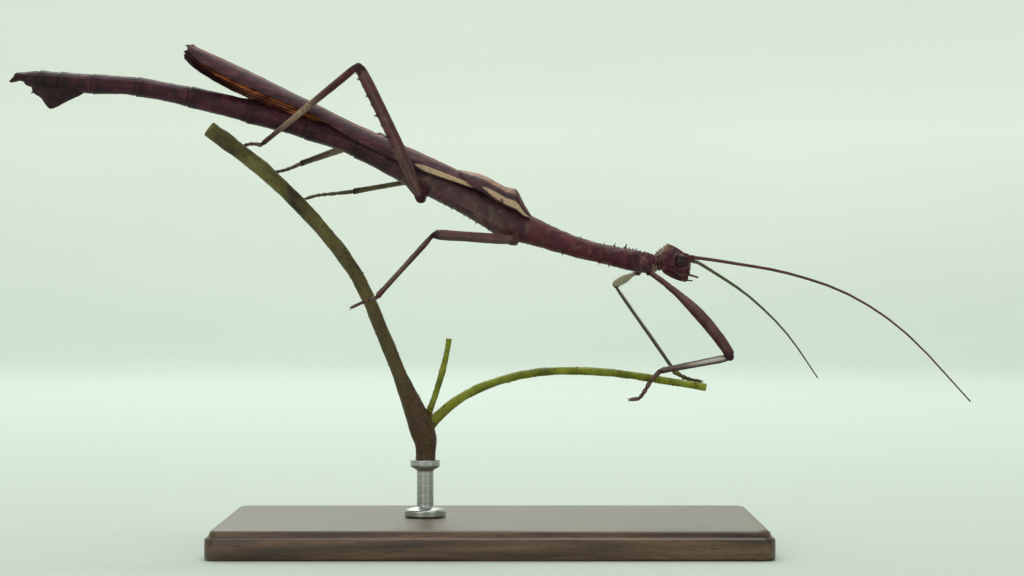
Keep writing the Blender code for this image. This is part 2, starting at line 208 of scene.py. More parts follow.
def turned(radii: Array, heights: Array, count: int) -> Array:
    """Return the grid of points of a body turned round Z, with count columns."""
    turns = np.linspace(0, math.tau, count, endpoint=False)
    wide = radii[:, None]
    levels = np.broadcast_to(heights[:, None], (len(heights), count))
    return np.stack((wide * np.cos(turns), wide * np.sin(turns), levels), axis=-1)


# ---- measuring the frame


class Measured:
    """The surface of one CAD node, which planes can cut."""

    def __init__(self, name: str) -> None:
        """Read the node's points and triangles.

        Args:
            name: The CAD node's name.
        """
        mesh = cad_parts[name].data
        mesh.calc_loop_triangles()
        flat = np.empty(len(mesh.vertices) * 3)
        mesh.vertices.foreach_get("co", flat)
        corners = np.empty(len(mesh.loop_triangles) * 3, dtype=np.int32)
        mesh.loop_triangles.foreach_get("vertices", corners)
        self.name = name
        self.points = flat.reshape(-1, 3) / MM
        self.triangles = corners.reshape(-1, 3)
        self.low = self.points.min(axis=0)
        self.high = self.points.max(axis=0)
        self.middle = (self.low + self.high) / 2

    def cut(self, point: Array, normal: Array) -> Array:
        """Return the points where the plane through point crosses the surface."""
        height = (self.points - point) @ normal
        ends = self.triangles[:, [0, 1, 1, 2, 2, 0]].reshape(-1, 2)
        one, two = height[ends[:, 0]], height[ends[:, 1]]
        hit = one * two < 0
        share = (one[hit] / (one[hit] - two[hit]))[:, None]
        first, second = self.points[ends[hit, 0]], self.points[ends[hit, 1]]
        return first + (second - first) * share

    def section(self, x: float) -> tuple[Array, Array]:
        """Return the lowest and highest corner of the cut across X at x."""
        found = self.cut(np.array((x, 0.0, 0.0)), X_AXIS)
        return found.min(axis=0), found.max(axis=0)

    def slices(self, count: int, start: float, end: float) -> Array:
        """Cut the node across X at even places.

        Args:
            count: How many cuts to make.
            start: Distance of the first cut from the low end.
            end: Distance of the last cut from the high end.

        Returns:
            Rows of x, lowest z, highest z, lowest y and highest y.
        """
        rows = []
        for x in np.linspace(self.low[0] + start, self.high[0] - end, count):
            low, high = self.section(x)
            rows.append((x, low[2], high[2], low[1], high[1]))
        return np.array(rows)

    def stations(self, near: Array, count: int, trim: float = 0.04) -> Array:
        """Measure a slender node along its length.

        Args:
            near: A point beside the end where the stations start.
            count: How many stations to cut.
            trim: Share of the length left out at both ends.

        Returns:
            Rows of x, y, z and radius.
        """
        centred = self.points - self.points.mean(axis=0)
        axis = np.linalg.svd(centred, full_matrices=False)[2][0]
        heights = self.points @ axis
        first, last = heights.min(), heights.max()
        if abs(near @ axis - first) > abs(near @ axis - last):
            first, last = last, first
        across = unit(np.cross(axis, Z_AXIS if abs(axis[2]) < 0.8 else X_AXIS))
        other = np.cross(axis, across)
        rows = []
        for share in np.linspace(trim, 1 - trim, count):
            height = first + (last - first) * share
            found = self.cut(axis * height, axis)
            if len(found) < 3:
                continue
            middle = axis * height
            reach = []
            for way in (across, other):
                spread = found @ way
                middle = middle + way * (spread.min() + spread.max()) / 2
                reach.append((spread.max() - spread.min()) / 2)
            rows.append((*middle, min(reach)))
        return np.array(rows)


@dataclass
class Line:
    """A centreline with an upright frame at every point."""

    points: Array
    ups: Array
    sides: Array
    lengths: Array

    @classmethod
    def through(cls, points: Array, hint: Array) -> "Line":
        """Make a line whose ups start at hint and turn as little as they can."""
        tangents = np.gradient(points, axis=0)
        tangents /= np.linalg.norm(tangents, axis=1)[:, None]
        ups = []
        up = hint
        for tangent in tangents:
            up = unit(up - tangent * (up @ tangent))
            ups.append(up)
        return cls(points, np.array(ups), np.cross(tangents, ups), distances(points))

    @property
    def shares(self) -> Array:
        """Return how far along the line each point is, from 0 to 1."""
        return self.lengths / self.lengths[-1]

    def outward(self, index: int, turn: float) -> Array:
        """Return the direction away from one point of the line, turned from its up."""
        return self.ups[index] * math.cos(turn) + self.sides[index] * math.sin(turn)

    def shell(self, turns: Array, depth: Array, width: Array) -> Array:
        """Return a grid of points round the line.

        Args:
            turns: Angles from the up direction, one per column.
            depth: Reach along the ups, per ring and column.
            width: Reach along the sides, per ring and column.
        """
        high = (depth * np.cos(turns))[..., None] * self.ups[:, None, :]
        wide = (width * np.sin(turns))[..., None] * self.sides[:, None, :]
        return self.points[:, None, :] + high + wide


# ---- meshes


def linked(name: str, data: bpy.types.ID) -> Thing:
    """Make an object of a mesh, lamp or camera and link it."""
    made = bpy.data.objects.new(name, data)
    bpy.context.collection.objects.link(made)
    return made


class Shape:
    """Points, faces and named values per point, which grow part by part."""

    def __init__(self) -> None:
        """Start empty."""
        self.points: list[Array] = []
        self.faces: list[list[int]] = []
        self.values: dict[str, list[Array]] = {name: [] for name in VALUES}
        self.count = 0

    def add_grid(self, grid: Array, **values: Array) -> None:
        """Add a closed tube of rings with a pole at both ends.

        Args:
            grid: Points by ring and column; the columns wrap round.
            values: Named values by ring and column, kept between 0 and 1.
        """
        rings, columns = grid.shape[:2]
        self.points.append(np.vstack((grid.reshape(-1, 3), grid[0].mean(axis=0), grid[-1].mean(axis=0))))
        for name in VALUES:
            wide = np.broadcast_to(np.clip(values.get(name, 0.0), 0, 1), (rings, columns))
            ends = (wide[0].mean(), wide[-1].mean())
            self.values[name].append(np.concatenate((wide.reshape(-1), ends)))
        first = self.count
        self.count += len(self.points[-1])
        index = first + np.arange(rings * columns).reshape(rings, columns)
        following = np.roll(index, -1, axis=1)
        quads = np.stack((index[:-1], following[:-1], following[1:], index[1:]), axis=-1)
        self.faces.extend(quads.reshape(-1, 4).tolist())
        south, north = first + rings * columns, first + rings * columns + 1
        for k in range(columns):
            self.faces.append([south, int(following[0, k]), int(index[0, k])])
            self.faces.append([north, int(index[-1, k]), int(following[-1, k])])

    def add_ball(self, middle: Place, axes: Array, rings: int, columns: int, **values: float) -> None:
        """Add an ellipsoid whose three half axes are the rows of axes."""
        axes = np.asarray(axes)
        lift = np.linspace(0.02, math.pi - 0.02, rings)[:, None]
        turns = ring_turns(columns)
        grid = (
            np.asarray(middle)
            + np.cos(lift)[..., None] * -axes[0]
            + (np.sin(lift) * np.cos(turns))[..., None] * axes[1]
            + (np.sin(lift) * np.sin(turns))[..., None] * axes[2]
        )
        self.add_grid(grid, **values)

    def add_plate(self, outer: Array, inner: Array, **values: Array) -> None:
        """Add a thin closed plate made of two sheets that carry the same values."""
        both = {}
        for name, given in values.items():
            wide = np.broadcast_to(given, outer.shape[:2])
            both[name] = np.concatenate((wide, wide[:, ::-1]), axis=1)
        self.add_grid(np.concatenate((outer, inner[:, ::-1]), axis=1), **both)

    def piece(self, name: str, material: Material) -> Thing:
        """Make the finished object, smooth and with its normals outward."""
        points = np.vstack(self.points) * MM
        mesh = bpy.data.meshes.new(name)
        mesh.from_pydata(points.tolist(), [], self.faces)
        for value in VALUES:
            layer = mesh.attributes.new(value, "FLOAT", "POINT")
            layer.data.foreach_set("value", np.concatenate(self.values[value]).astype(np.float32))
        turn_outward(mesh)
        mesh.shade_smooth()
        mesh.materials.append(material)
        return linked(name, mesh)


def turn_outward(mesh: bpy.types.Mesh) -> None:
    """Recalculate the face normals of a closed mesh so that they point outward."""
    grid = bmesh.new()
    grid.from_mesh(mesh)
    bmesh.ops.recalc_face_normals(grid, faces=grid.faces)
    grid.to_mesh(mesh)
    grid.free()


# ---- finishes


class Nodes:
    """A node tree that is filled with short calls."""

    def __init__(self, tree: bpy.types.NodeTree) -> None:
        """Start on a tree."""
        self.tree = tree

    def feed(self, socket: Socket, value: object) -> None:
        """Link a socket to another one, or set its number, colour or name."""
        if isinstance(value, Socket):
            self.tree.links.new(value, socket)
        elif isinstance(value, tuple) and socket.type == "RGBA":
            socket.default_value = (*value, 1.0)
        else:
            socket.default_value = value

    def add(self, kind: str, **inputs: object) -> bpy.types.Node:
        """Make a node and feed its inputs, named with underscores for spaces."""
        node = self.tree.nodes.new(kind)
        for name, value in inputs.items():
            self.feed(node.inputs[name.replace("_", " ")], value)
        return node

    def maths(self, operation: str, one: object, two: object = 0.0) -> Socket:
        """Return the sum, product or other operation of two numbers."""
        node = self.add("ShaderNodeMath")
        node.operation = operation
        self.feed(node.inputs[0], one)
        self.feed(node.inputs[1], two)
        return node.outputs["Value"]


class Paint(Nodes):
    """A material on object coordinates whose base colour grows layer by layer."""

    def __init__(self, name: str) -> None:
        """Start a Principled material.

        Args:
            name: The material's name.
        """
        self.material = bpy.data.materials.new(name)
        self.material.use_nodes = True
        super().__init__(self.material.node_tree)
        self.shader = self.tree.nodes["Principled BSDF"]
        self.place = self.add("ShaderNodeTexCoord").outputs["Object"]
        self.base: Socket | None = None

    def noise(
        self,
        per_mm: float,
        detail: float,
        rough: float = 0.55,
        stretch: tuple[float, float, float] | None = None,
    ) -> Socket:
        """Return noise with so many bumps per millimetre, stretched along the axes."""
        place = self.place
        if stretch is not None:
            place = self.add("ShaderNodeMapping", Vector=place, Scale=stretch).outputs["Vector"]
        node = self.add(
            "ShaderNodeTexNoise", Vector=place, Scale=per_mm / MM, Detail=detail, Roughness=rough
        )
        return node.outputs["Fac"]

    def cells(self, per_mm: float, edges: bool = False) -> Socket:
        """Return the distance to the nearest cell's middle, or to its edge."""
        node = self.add("ShaderNodeTexVoronoi", Vector=self.place, Scale=per_mm / MM)
        node.feature = "DISTANCE_TO_EDGE" if edges else "F1"
        return node.outputs["Distance"]

    def value(self, name: str) -> Socket:
        """Return a value that the mesh carries at its points."""
        node = self.add("ShaderNodeAttribute")
        node.attribute_name = name
        return node.outputs["Fac"]

    def steps(self, factor: object, *stops: tuple[float, Colour]) -> Socket:
        """Return a colour ramp over the factor."""
        node = self.add("ShaderNodeValToRGB", Fac=factor)
        ramp = node.color_ramp
        while len(ramp.elements) < len(stops):
            ramp.elements.new(0.5)
        for element, (place, colour) in zip(ramp.elements, stops):
            element.position = place
            element.color = (*colour, 1.0)
        return node.outputs["Color"]

    def span(
        self, factor: object, low: float, high: float, out: tuple[float, float] = (0.0, 1.0)
    ) -> Socket:
        """Return the factor stretched from low..high to the two out numbers."""
        node = self.add(
            "ShaderNodeMapRange",
            Value=factor,
            From_Min=low,
            From_Max=high,
            To_Min=out[0],
            To_Max=out[1],
        )
        return node.outputs["Result"]

    def mix(self, factor: object, one: object, two: object) -> Socket:
        """Return one colour laid over another by the factor."""
        node = self.add("ShaderNodeMix")
        node.data_type = "RGBA"
        self.feed(node.inputs["Factor"], factor)
        colours = [socket for socket in node.inputs if socket.type == "RGBA"]
        self.feed(colours[0], one)
        self.feed(colours[1], two)
        return next(socket for socket in node.outputs if socket.type == "RGBA")

    def lay(self, factor: Socket | str, colour: object, share: float = 1.0) -> None:
        """Lay a colour over the base colour.

        Args:
            factor: Where it lies: a factor, or the name of a value that the mesh carries.
            colour: The colour.
            share: How strong the layer is at most.
        """
        if isinstance(factor, str):
            factor = self.value(factor)
        if share < 1.0:
            factor = self.maths("MULTIPLY", factor, share)
        self.base = self.mix(factor, self.base, colour)

    def close(
        self,
        spread: Socket,
        roughness: tuple[float, float],
        height: Socket,
        depth: float,
        gloss: float = 0.5,
        coat: tuple[float, float] = (0.0, 0.03),
        **numbers: object,
    ) -> Material:
        """Finish the shader and return the material.

        Args:
            spread: The noise that the roughness follows.
            roughness: The lowest and the highest roughness.
            height: The fine relief.
            depth: How many millimetres the relief counts for.
            gloss: The level of the mirrored light.
            coat: The clear coat's weight and roughness.
            numbers: Plain inputs of the shader, named with underscores for spaces.
        """
        relief = self.add("ShaderNodeBump", Height=height, Distance=depth * MM)
        numbers["Base_Color"] = self.base
        numbers["Roughness"] = self.span(spread, 0.3, 0.7, roughness)
        numbers["Normal"] = relief.outputs["Normal"]
        numbers["Specular_IOR_Level"] = gloss
        numbers["Coat_Weight"], numbers["Coat_Roughness"] = coat
        for name, number in numbers.items():
            self.feed(self.shader.inputs[name.replace("_", " ")], number)
        return self.material


@dataclass(frozen=True)
class CuticleFinish:
    """The insect's horny shell: dark and warm browns with pale, olive and black parts, and a near-white
    painted highlight.
    """

    name: str = "cuticle_shell"
    deep: Colour = (0.012, 0.003, 0.007)
    middle: Colour = (0.046, 0.008, 0.018)
    light: Colour = (0.100, 0.025, 0.037)
    warm: Colour = (0.150, 0.024, 0.033)
    pale: Colour = (0.540, 0.420, 0.270)
    black: Colour = (0.006, 0.003, 0.004)
    # Near-white colour of the painted highlight on the shins' sides; elsewhere it lies faintly as pale
    # dust.
    gleam: Colour = (0.800, 0.760, 0.700)
    olive: Colour = (0.027, 0.024, 0.010)
    olive_light: Colour = (0.112, 0.106, 0.028)
    olive_pale: Colour = (0.560, 0.530, 0.230)
    gloss: float = 0.20
    roughness: tuple[float, float] = (0.34, 0.60)
    bump: float = 0.030
    bleed: Colour = (0.0008, 0.0003, 0.0002)

    def build(self) -> Material:
        """Make the material."""
        paint = Paint(self.name)
        broad = paint.noise(per_mm=0.55, detail=5.0)
        speck = paint.noise(per_mm=5.5, detail=3.0)
        dots = paint.noise(per_mm=9.0, detail=2.0)
        paint.base = paint.steps(broad, (0.30, self.deep), (0.50, self.middle), (0.72, self.light))
        paint.lay("warm", paint.steps(broad, (0.3, self.middle), (0.7, self.warm)))
        paint.lay(paint.span(speck, 0.52, 0.66), self.light, share=0.55)
        paint.lay(paint.span(dots, 0.60, 0.70), self.black, share=0.6)
        paint.lay("vein", paint.steps(broad, (0.35, self.olive), (0.68, self.olive_light)))
        pale = paint.mix(paint.value("vein"), self.pale, self.olive_pale)
        paint.lay("pale", paint.mix(paint.span(speck, 0.35, 0.6), self.light, pale))
        paint.lay("dark", self.black)
        # Painted highlight: the near-white gleam is laid by the per-point dust value, and is strongest on
        # the front shins' sides.
        paint.lay("dust", self.gleam)
        return paint.close(
            speck,
            self.roughness,
            paint.maths("ADD", paint.cells(per_mm=7.0), paint.noise(per_mm=14.0, detail=3.0)),
            self.bump,
            gloss=self.gloss,
            coat=(0.04, 0.3),
            Subsurface_Weight=0.06,
            Subsurface_Radius=self.bleed,
        )


@dataclass(frozen=True)
class WingFinish:
    """Leathery wing cover: purple brown with lighter veins, specks and a cream stripe."""

    name: str = "wing_leather"
    deep: Colour = (0.016, 0.005, 0.011)
    middle: Colour = (0.064, 0.014, 0.027)
    light: Colour = (0.165, 0.060, 0.066)
    warm: Colour = (0.210, 0.020, 0.024)
    pale: Colour = (0.560, 0.400, 0.250)
    dusty: Colour = (0.430, 0.245, 0.160)
    black: Colour = (0.008, 0.003, 0.005)
    bump: float = 0.035
    gloss: float = 0.28
    bleed: Colour = (0.001, 0.0004, 0.0002)

    def build(self) -> Material:
        """Make the material."""
        paint = Paint(self.name)
        broad = paint.noise(per_mm=0.8, detail=5.0, stretch=(0.35, 1.2, 1.2))
        speck = paint.noise(per_mm=4.0, detail=3.0)
        patches = paint.noise(per_mm=3.2, detail=4.0)
        paint.base = paint.steps(broad, (0.30, self.deep), (0.52, self.middle), (0.75, self.light))
        paint.lay("warm", paint.steps(broad, (0.3, self.middle), (0.62, self.warm)))
        paint.lay("vein", self.light, share=0.22)
        paint.lay(paint.span(speck, 0.58, 0.68), self.deep, share=0.5)
        dusted = paint.maths("MULTIPLY", paint.value("dust"), paint.span(patches, 0.36, 0.52))
        paint.lay(dusted, self.dusty)
        paint.lay("pale", paint.steps(speck, (0.34, self.light), (0.44, self.pale)))
        paint.lay("dark", self.black)
        grain = paint.noise(per_mm=12.0, detail=3.0)
        return paint.close(
            speck,
            (0.36, 0.58),
            paint.maths("ADD", paint.cells(per_mm=5.0, edges=True), grain),
            self.bump,
            gloss=self.gloss,
            coat=(0.05, 0.35),
            Subsurface_Weight=0.10,
            Subsurface_Radius=self.bleed,
        )


@dataclass(frozen=True)
class FanFinish:
    """Thin folded wing skin: orange red where light comes through, darker on its veins."""

    name: str = "wing_fan_skin"
    deep: Colour = (0.062, 0.012, 0.020)
    middle: Colour = (0.270, 0.052, 0.034)
    light: Colour = (1.000, 0.430, 0.190)
    vein: Colour = (0.060, 0.012, 0.012)
    through: float = 0.50

    def build(self) -> Material:
        """Make the material."""
        paint = Paint(self.name)
        broad = paint.noise(per_mm=0.9, detail=4.0, stretch=(0.25, 1.2, 1.2))
        fine = paint.noise(per_mm=6.0, detail=3.0, stretch=(0.12, 1.0, 1.0))
        paint.base = paint.steps(broad, (0.30, self.deep), (0.50, self.middle), (0.70, self.light))
        paint.lay(paint.span(fine, 0.45, 0.65), self.deep, share=0.35)
        paint.lay("pale", paint.steps(fine, (0.22, self.middle), (0.42, self.light)))
        paint.lay("vein", self.vein)
        paint.lay("dark", self.deep)
        relief = paint.maths("ADD", fine, paint.cells(per_mm=4.0, edges=True))
        material = paint.close(fine, (0.32, 0.5), relief, 0.03, IOR=1.46)
        clear = paint.add("ShaderNodeBsdfTranslucent", Color=paint.base)
        blend = paint.add("ShaderNodeMixShader", Fac=self.through)
        paint.feed(blend.inputs[1], paint.shader.outputs["BSDF"])
        paint.feed(blend.inputs[2], clear.outputs["BSDF"])
        output = paint.tree.nodes["Material Output"]
        paint.feed(output.inputs["Surface"], blend.outputs["Shader"])
        return material


@dataclass(frozen=True)
class EyeFinish:
    """Glossy compound eye with fine facets and faint darker bands."""

    name: str = "eye_facets"
    deep: Colour = (0.017, 0.006, 0.010)
    light: Colour = (0.060, 0.021, 0.028)
    facets_per_mm: float = 13.0
    facet_depth: float = -0.016
    gloss: float = 0.22

    def build(self) -> Material:
        """Make the material."""
        paint = Paint(self.name)
        bands = paint.noise(per_mm=1.2, detail=3.0, stretch=(0.4, 1.0, 2.2))
        paint.base = paint.steps(bands, (0.35, self.deep), (0.65, self.light))
        return paint.close(
            bands,
            (0.20, 0.34),
            paint.cells(self.facets_per_mm),
            self.facet_depth,
            gloss=self.gloss,
            coat=(0.04, 0.15),
        )


@dataclass(frozen=True)
class BarkFinish:
    """Smooth young bark that goes from green to brown, with pale pith where it is cut."""

    name: str
    deep: Colour
    middle: Colour
    light: Colour
    rust: Colour = (0.130, 0.060, 0.035)
    pith: Colour = (0.560, 0.500, 0.300)
    bump: float = 0.05
    gloss: float = 0.26

    def build(self) -> Material:
        """Make the material."""
        paint = Paint(self.name)
        broad = paint.noise(per_mm=0.22, detail=5.0)
        fine = paint.noise(per_mm=2.6, detail=4.0)
        paint.base = paint.steps(broad, (0.32, self.deep), (0.52, self.middle), (0.70, self.light))
        paint.lay(paint.span(fine, 0.54, 0.68), self.rust, share=0.55)
        paint.lay("warm", paint.steps(fine, (0.3, self.deep), (0.7, self.rust)))
        paint.lay("pale", paint.steps(fine, (0.3, self.light), (0.6, self.pith)))
        paint.lay("dark", self.deep)
        return paint.close(
            fine,
            (0.42, 0.66),
            paint.maths("ADD", paint.noise(per_mm=7.0, detail=4.0), paint.cells(per_mm=1.6)),
            self.bump,
            gloss=self.gloss,
            coat=(0.04, 0.4),
        )


@dataclass(frozen=True)
class WoodFinish:
    """Satin walnut of the base, with long grain and fine pores."""

    name: str = "base_walnut"
    deep: Colour = (0.028, 0.013, 0.008)
    middle: Colour = (0.085, 0.040, 0.021)
    light: Colour = (0.170, 0.088, 0.048)

    def build(self) -> Material:
        """Make the material."""
        paint = Paint(self.name)
        grain = paint.noise(per_mm=1.0, detail=6.0, rough=0.6, stretch=(0.05, 0.55, 0.8))
        pores = paint.noise(per_mm=1.0, detail=2.0, rough=0.5, stretch=(0.5, 7.0, 7.0))
        paint.base = paint.steps(grain, (0.32, self.deep), (0.5, self.middle), (0.68, self.light))
        paint.lay(paint.span(pores, 0.58, 0.66), self.deep, share=0.7)
        return paint.close(grain, (0.34, 0.50), pores, 0.03, IOR=1.5, coat=(0.25, 0.25))


@dataclass(frozen=True)
class SteelFinish:
    """Turned and brushed steel of the rod."""

    name: str = "rod_steel_brushed"
    deep: Colour = (0.34, 0.34, 0.34)
    light: Colour = (0.60, 0.60, 0.59)

    def build(self) -> Material:
        """Make the material."""
        paint = Paint(self.name)
        rings = paint.noise(per_mm=1.0, detail=3.0, rough=0.6, stretch=(0.3, 0.3, 16.0))
        paint.base = paint.steps(rings, (0.3, self.deep), (0.7, self.light))
        return paint.close(rings, (0.24, 0.40), rings, 0.006, Metallic=1.0)


@dataclass(frozen=True)
class PaperFinish:
    """Pale matt studio floor with painted light: it turns lighter where it rises to a wall."""

    name: str = "studio_paper"
    floor: Colour = (0.530, 0.590, 0.545)
    wall: Colour = (0.790, 0.830, 0.780)
    rise: float = 0.14
    uneven: tuple[float, float] = (-0.05, 0.05)

    def build(self) -> Material:
        """Make the material."""
        paint = Paint(self.name)
        soft = paint.noise(per_mm=0.004, detail=2.0)
        level = paint.add("ShaderNodeSeparateXYZ", Vector=paint.place).outputs["Z"]
        # Painted light: the colour goes from the floor colour to the lighter wall colour over the first
        # rise in height.
        lift = paint.span(level, 0.0, self.rise)
        tone = paint.maths("ADD", lift, paint.span(soft, 0.3, 0.7, self.uneven))
        paint.base = paint.steps(tone, (0.0, self.floor), (1.0, self.wall))
        return paint.close(soft, (0.85, 0.95), paint.noise(per_mm=0.8, detail=3.0), 0.02)


# ---- studs: spines, hairs, pores


@dataclass(frozen=True)
class StudForm:
    """The shape of one small part that repeats: a turned cone."""

    sides: int
    rings: int
    length: float
    base: float
    tip: float
    spread: float
    hollow: float = 0.0


class Stud(Enum):
    """The kinds of small part that repeat on a surface."""

    HAIR = StudForm(sides=4, rings=2, length=0.30, base=0.014, tip=0.003, spread=0.35)
    SPINE = StudForm(sides=10, rings=5, length=0.40, base=0.17, tip=0.018, spread=0.2, hollow=0.38)
    TOOTH = StudForm(sides=10, rings=5, length=0.52, base=0.20, tip=0.018, spread=0.1, hollow=0.38)
    GRAIN = StudForm(sides=7, rings=2, length=0.07, base=0.09, tip=0.035, spread=0.4)
    PORE = StudForm(sides=8, rings=2, length=0.05, base=0.11, tip=0.07, spread=0.4)


@dataclass
class StudBed:
    """Places where studs of one kind stand, and the tree that sets them there."""

    name: str
    kind: Stud
    seed: int
    places: list[Array] = field(default_factory=list)
    aims: list[Array] = field(default_factory=list)
    sizes: list[float] = field(default_factory=list)

    def add(self, place: Array, aim: Array, size: float = 1.0) -> None:
        """Add one stud that points along aim."""
        self.places.append(np.asarray(place, dtype=float))
        self.aims.append(unit(np.asarray(aim, dtype=float)))
        self.sizes.append(size)

    def _inputs(self) -> dict[str, float | int]:
        """Return the tree's named inputs."""
        form = self.kind.value
        return {"Length": form.length, "Base Radius": form.base, "Spread": form.spread, "Seed": self.seed}

    def _tree(self, material: Material) -> bpy.types.NodeTree:
        """Build the node tree that puts a cone on every point."""
        tree = bpy.data.node_groups.new(f"{self.name}_tree", "GeometryNodeTree")
        face = tree.interface
        face.new_socket("Geometry", in_out="INPUT", socket_type="NodeSocketGeometry")
        face.new_socket("Geometry", in_out="OUTPUT", socket_type="NodeSocketGeometry")
        for label, number in self._inputs().items():
            kind = "NodeSocketInt" if isinstance(number, int) else "NodeSocketFloat"
            face.new_socket(label, in_out="INPUT", socket_type=kind).default_value = number
        nodes = Nodes(tree)
        given = nodes.add("NodeGroupInput").outputs
        points = nodes.add("GeometryNodeMeshToPoints", Mesh=given["Geometry"])
        turn = nodes.add("FunctionNodeAlignRotationToVector")
        turn.axis = "Z"
        nodes.feed(turn.inputs["Vector"], self._attribute(nodes, "aim", "FLOAT_VECTOR"))
        size = self._attribute(nodes, "size", "FLOAT")
        stand = nodes.add(
            "GeometryNodeInstanceOnPoints",
            Points=points.outputs["Points"],
            Instance=self._cone(nodes, given),
            Rotation=turn.outputs["Rotation"],
            Scale=nodes.maths("MULTIPLY", self._varied(nodes, given), size),
        )
        real = nodes.add("GeometryNodeRealizeInstances", Geometry=stand.outputs["Instances"])
        painted = nodes.add("GeometryNodeSetMaterial", Geometry=real.outputs["Geometry"])
        nodes.feed(painted.inputs["Material"], material)
        nodes.add("NodeGroupOutput", Geometry=painted.outputs["Geometry"])
        return tree

    @staticmethod
    def _attribute(nodes: Nodes, name: str, kind: str) -> Socket:
        """Return what the points carry under a name."""
        node = nodes.add("GeometryNodeInputNamedAttribute")
        node.data_type = kind
        nodes.feed(node.inputs["Name"], name)
        return node.outputs["Attribute"]

    @staticmethod
    def _varied(nodes: Nodes, given: bpy.types.NodeOutputs) -> Socket:
        """Return a random factor round one, which differs by at most the spread."""
        vary = nodes.add("FunctionNodeRandomValue", Seed=given["Seed"])
        bounds = [socket for socket in vary.inputs if socket.type == "VALUE" and socket.enabled]
        for socket, way in zip(bounds, ("SUBTRACT", "ADD")):
            nodes.feed(socket, nodes.maths(way, 1.0, given["Spread"]))
        return next(socket for socket in vary.outputs if socket.type == "VALUE" and socket.enabled)

    def _cone(self, nodes: Nodes, given: bpy.types.NodeOutputs) -> Socket:
        """Make a cone with drawn-in flanks, and give its foot and tip their colour values."""
        form = self.kind.value
        length = nodes.maths("MULTIPLY", given["Length"], MM)
        cone = nodes.add(
            "GeometryNodeMeshCone",
            Vertices=form.sides,
            Side_Segments=form.rings,
            Radius_Top=form.tip * MM,
            Radius_Bottom=nodes.maths("MULTIPLY", given["Base Radius"], MM),
            Depth=length,
        )
        place = nodes.add("GeometryNodeInputPosition").outputs["Position"]
        x, y, z = nodes.add("ShaderNodeSeparateXYZ", Vector=place).outputs
        share = nodes.maths("DIVIDE", z, length)
        wave = nodes.maths("SINE", nodes.maths("MULTIPLY", share, math.pi))
        narrow = nodes.maths("SUBTRACT", 1.0, nodes.maths("MULTIPLY", wave, form.hollow))
        join = nodes.add(
            "ShaderNodeCombineXYZ",
            X=nodes.maths("MULTIPLY", x, narrow),
            Y=nodes.maths("MULTIPLY", y, narrow),
            Z=z,
        )
        move = nodes.add("GeometryNodeSetPosition", Geometry=cone.outputs["Mesh"])
        nodes.feed(move.inputs["Position"], join.outputs["Vector"])
        marked = move.outputs["Geometry"]
        warm, dark = nodes.maths("SUBTRACT", 1.0, share), nodes.maths("MULTIPLY", share, 0.6)
        for name, value in (("warm", warm), ("dark", dark)):
            store = nodes.add("GeometryNodeStoreNamedAttribute", Name=name, Geometry=marked)
            nodes.feed(store.inputs["Value"], value)
            marked = store.outputs["Geometry"]
        return marked

    def piece(self, material: Material) -> Thing:
        """Set the studs and return them as one plain mesh object."""
        mesh = bpy.data.meshes.new(self.name)
        mesh.from_pydata((np.array(self.places) * MM).tolist(), [], [])
        aim = mesh.attributes.new("aim", "FLOAT_VECTOR", "POINT")
        aim.data.foreach_set("vector", np.array(self.aims, dtype=np.float32).reshape(-1))
        size = mesh.attributes.new("size", "FLOAT", "POINT")
        size.data.foreach_set("value", np.array(self.sizes, dtype=np.float32))
        made = linked(self.name, mesh)
        nodes = made.modifiers.new("studs", "NODES")
        nodes.node_group = self._tree(material)
        sockets = {item.name: item.identifier for item in nodes.node_group.interface.items_tree}
        for label, number in self._inputs().items():
            nodes[sockets[label]] = number
        seen = made.evaluated_get(bpy.context.evaluated_depsgraph_get())
        result = bpy.data.meshes.new_from_object(seen)
        made.modifiers.clear()
        made.data = result
        result.shade_smooth()
        if not result.materials:
            result.materials.append(material)
        return made


# ---- handing pieces to the frame


class Workshop:
    """Hands finished pieces to the frame and reports them."""

    def __init__(self) -> None:
        """Start with no pieces."""
        self.triangles = 0

    def place(self, piece: Thing, slot: str, *nodes: str) -> None:
        """Let a piece ride on the model, hide the CAD nodes it stands for, and log its triangles."""
        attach(piece, "root")
        if nodes:
            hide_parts(*nodes)
        piece.data.calc_loop_triangles()
        count = len(piece.data.loop_triangles)
        self.triangles += count
        LOG.info("%s: %d triangles, stands for %d nodes", piece.name, count, len(nodes))


# ---- the trunk


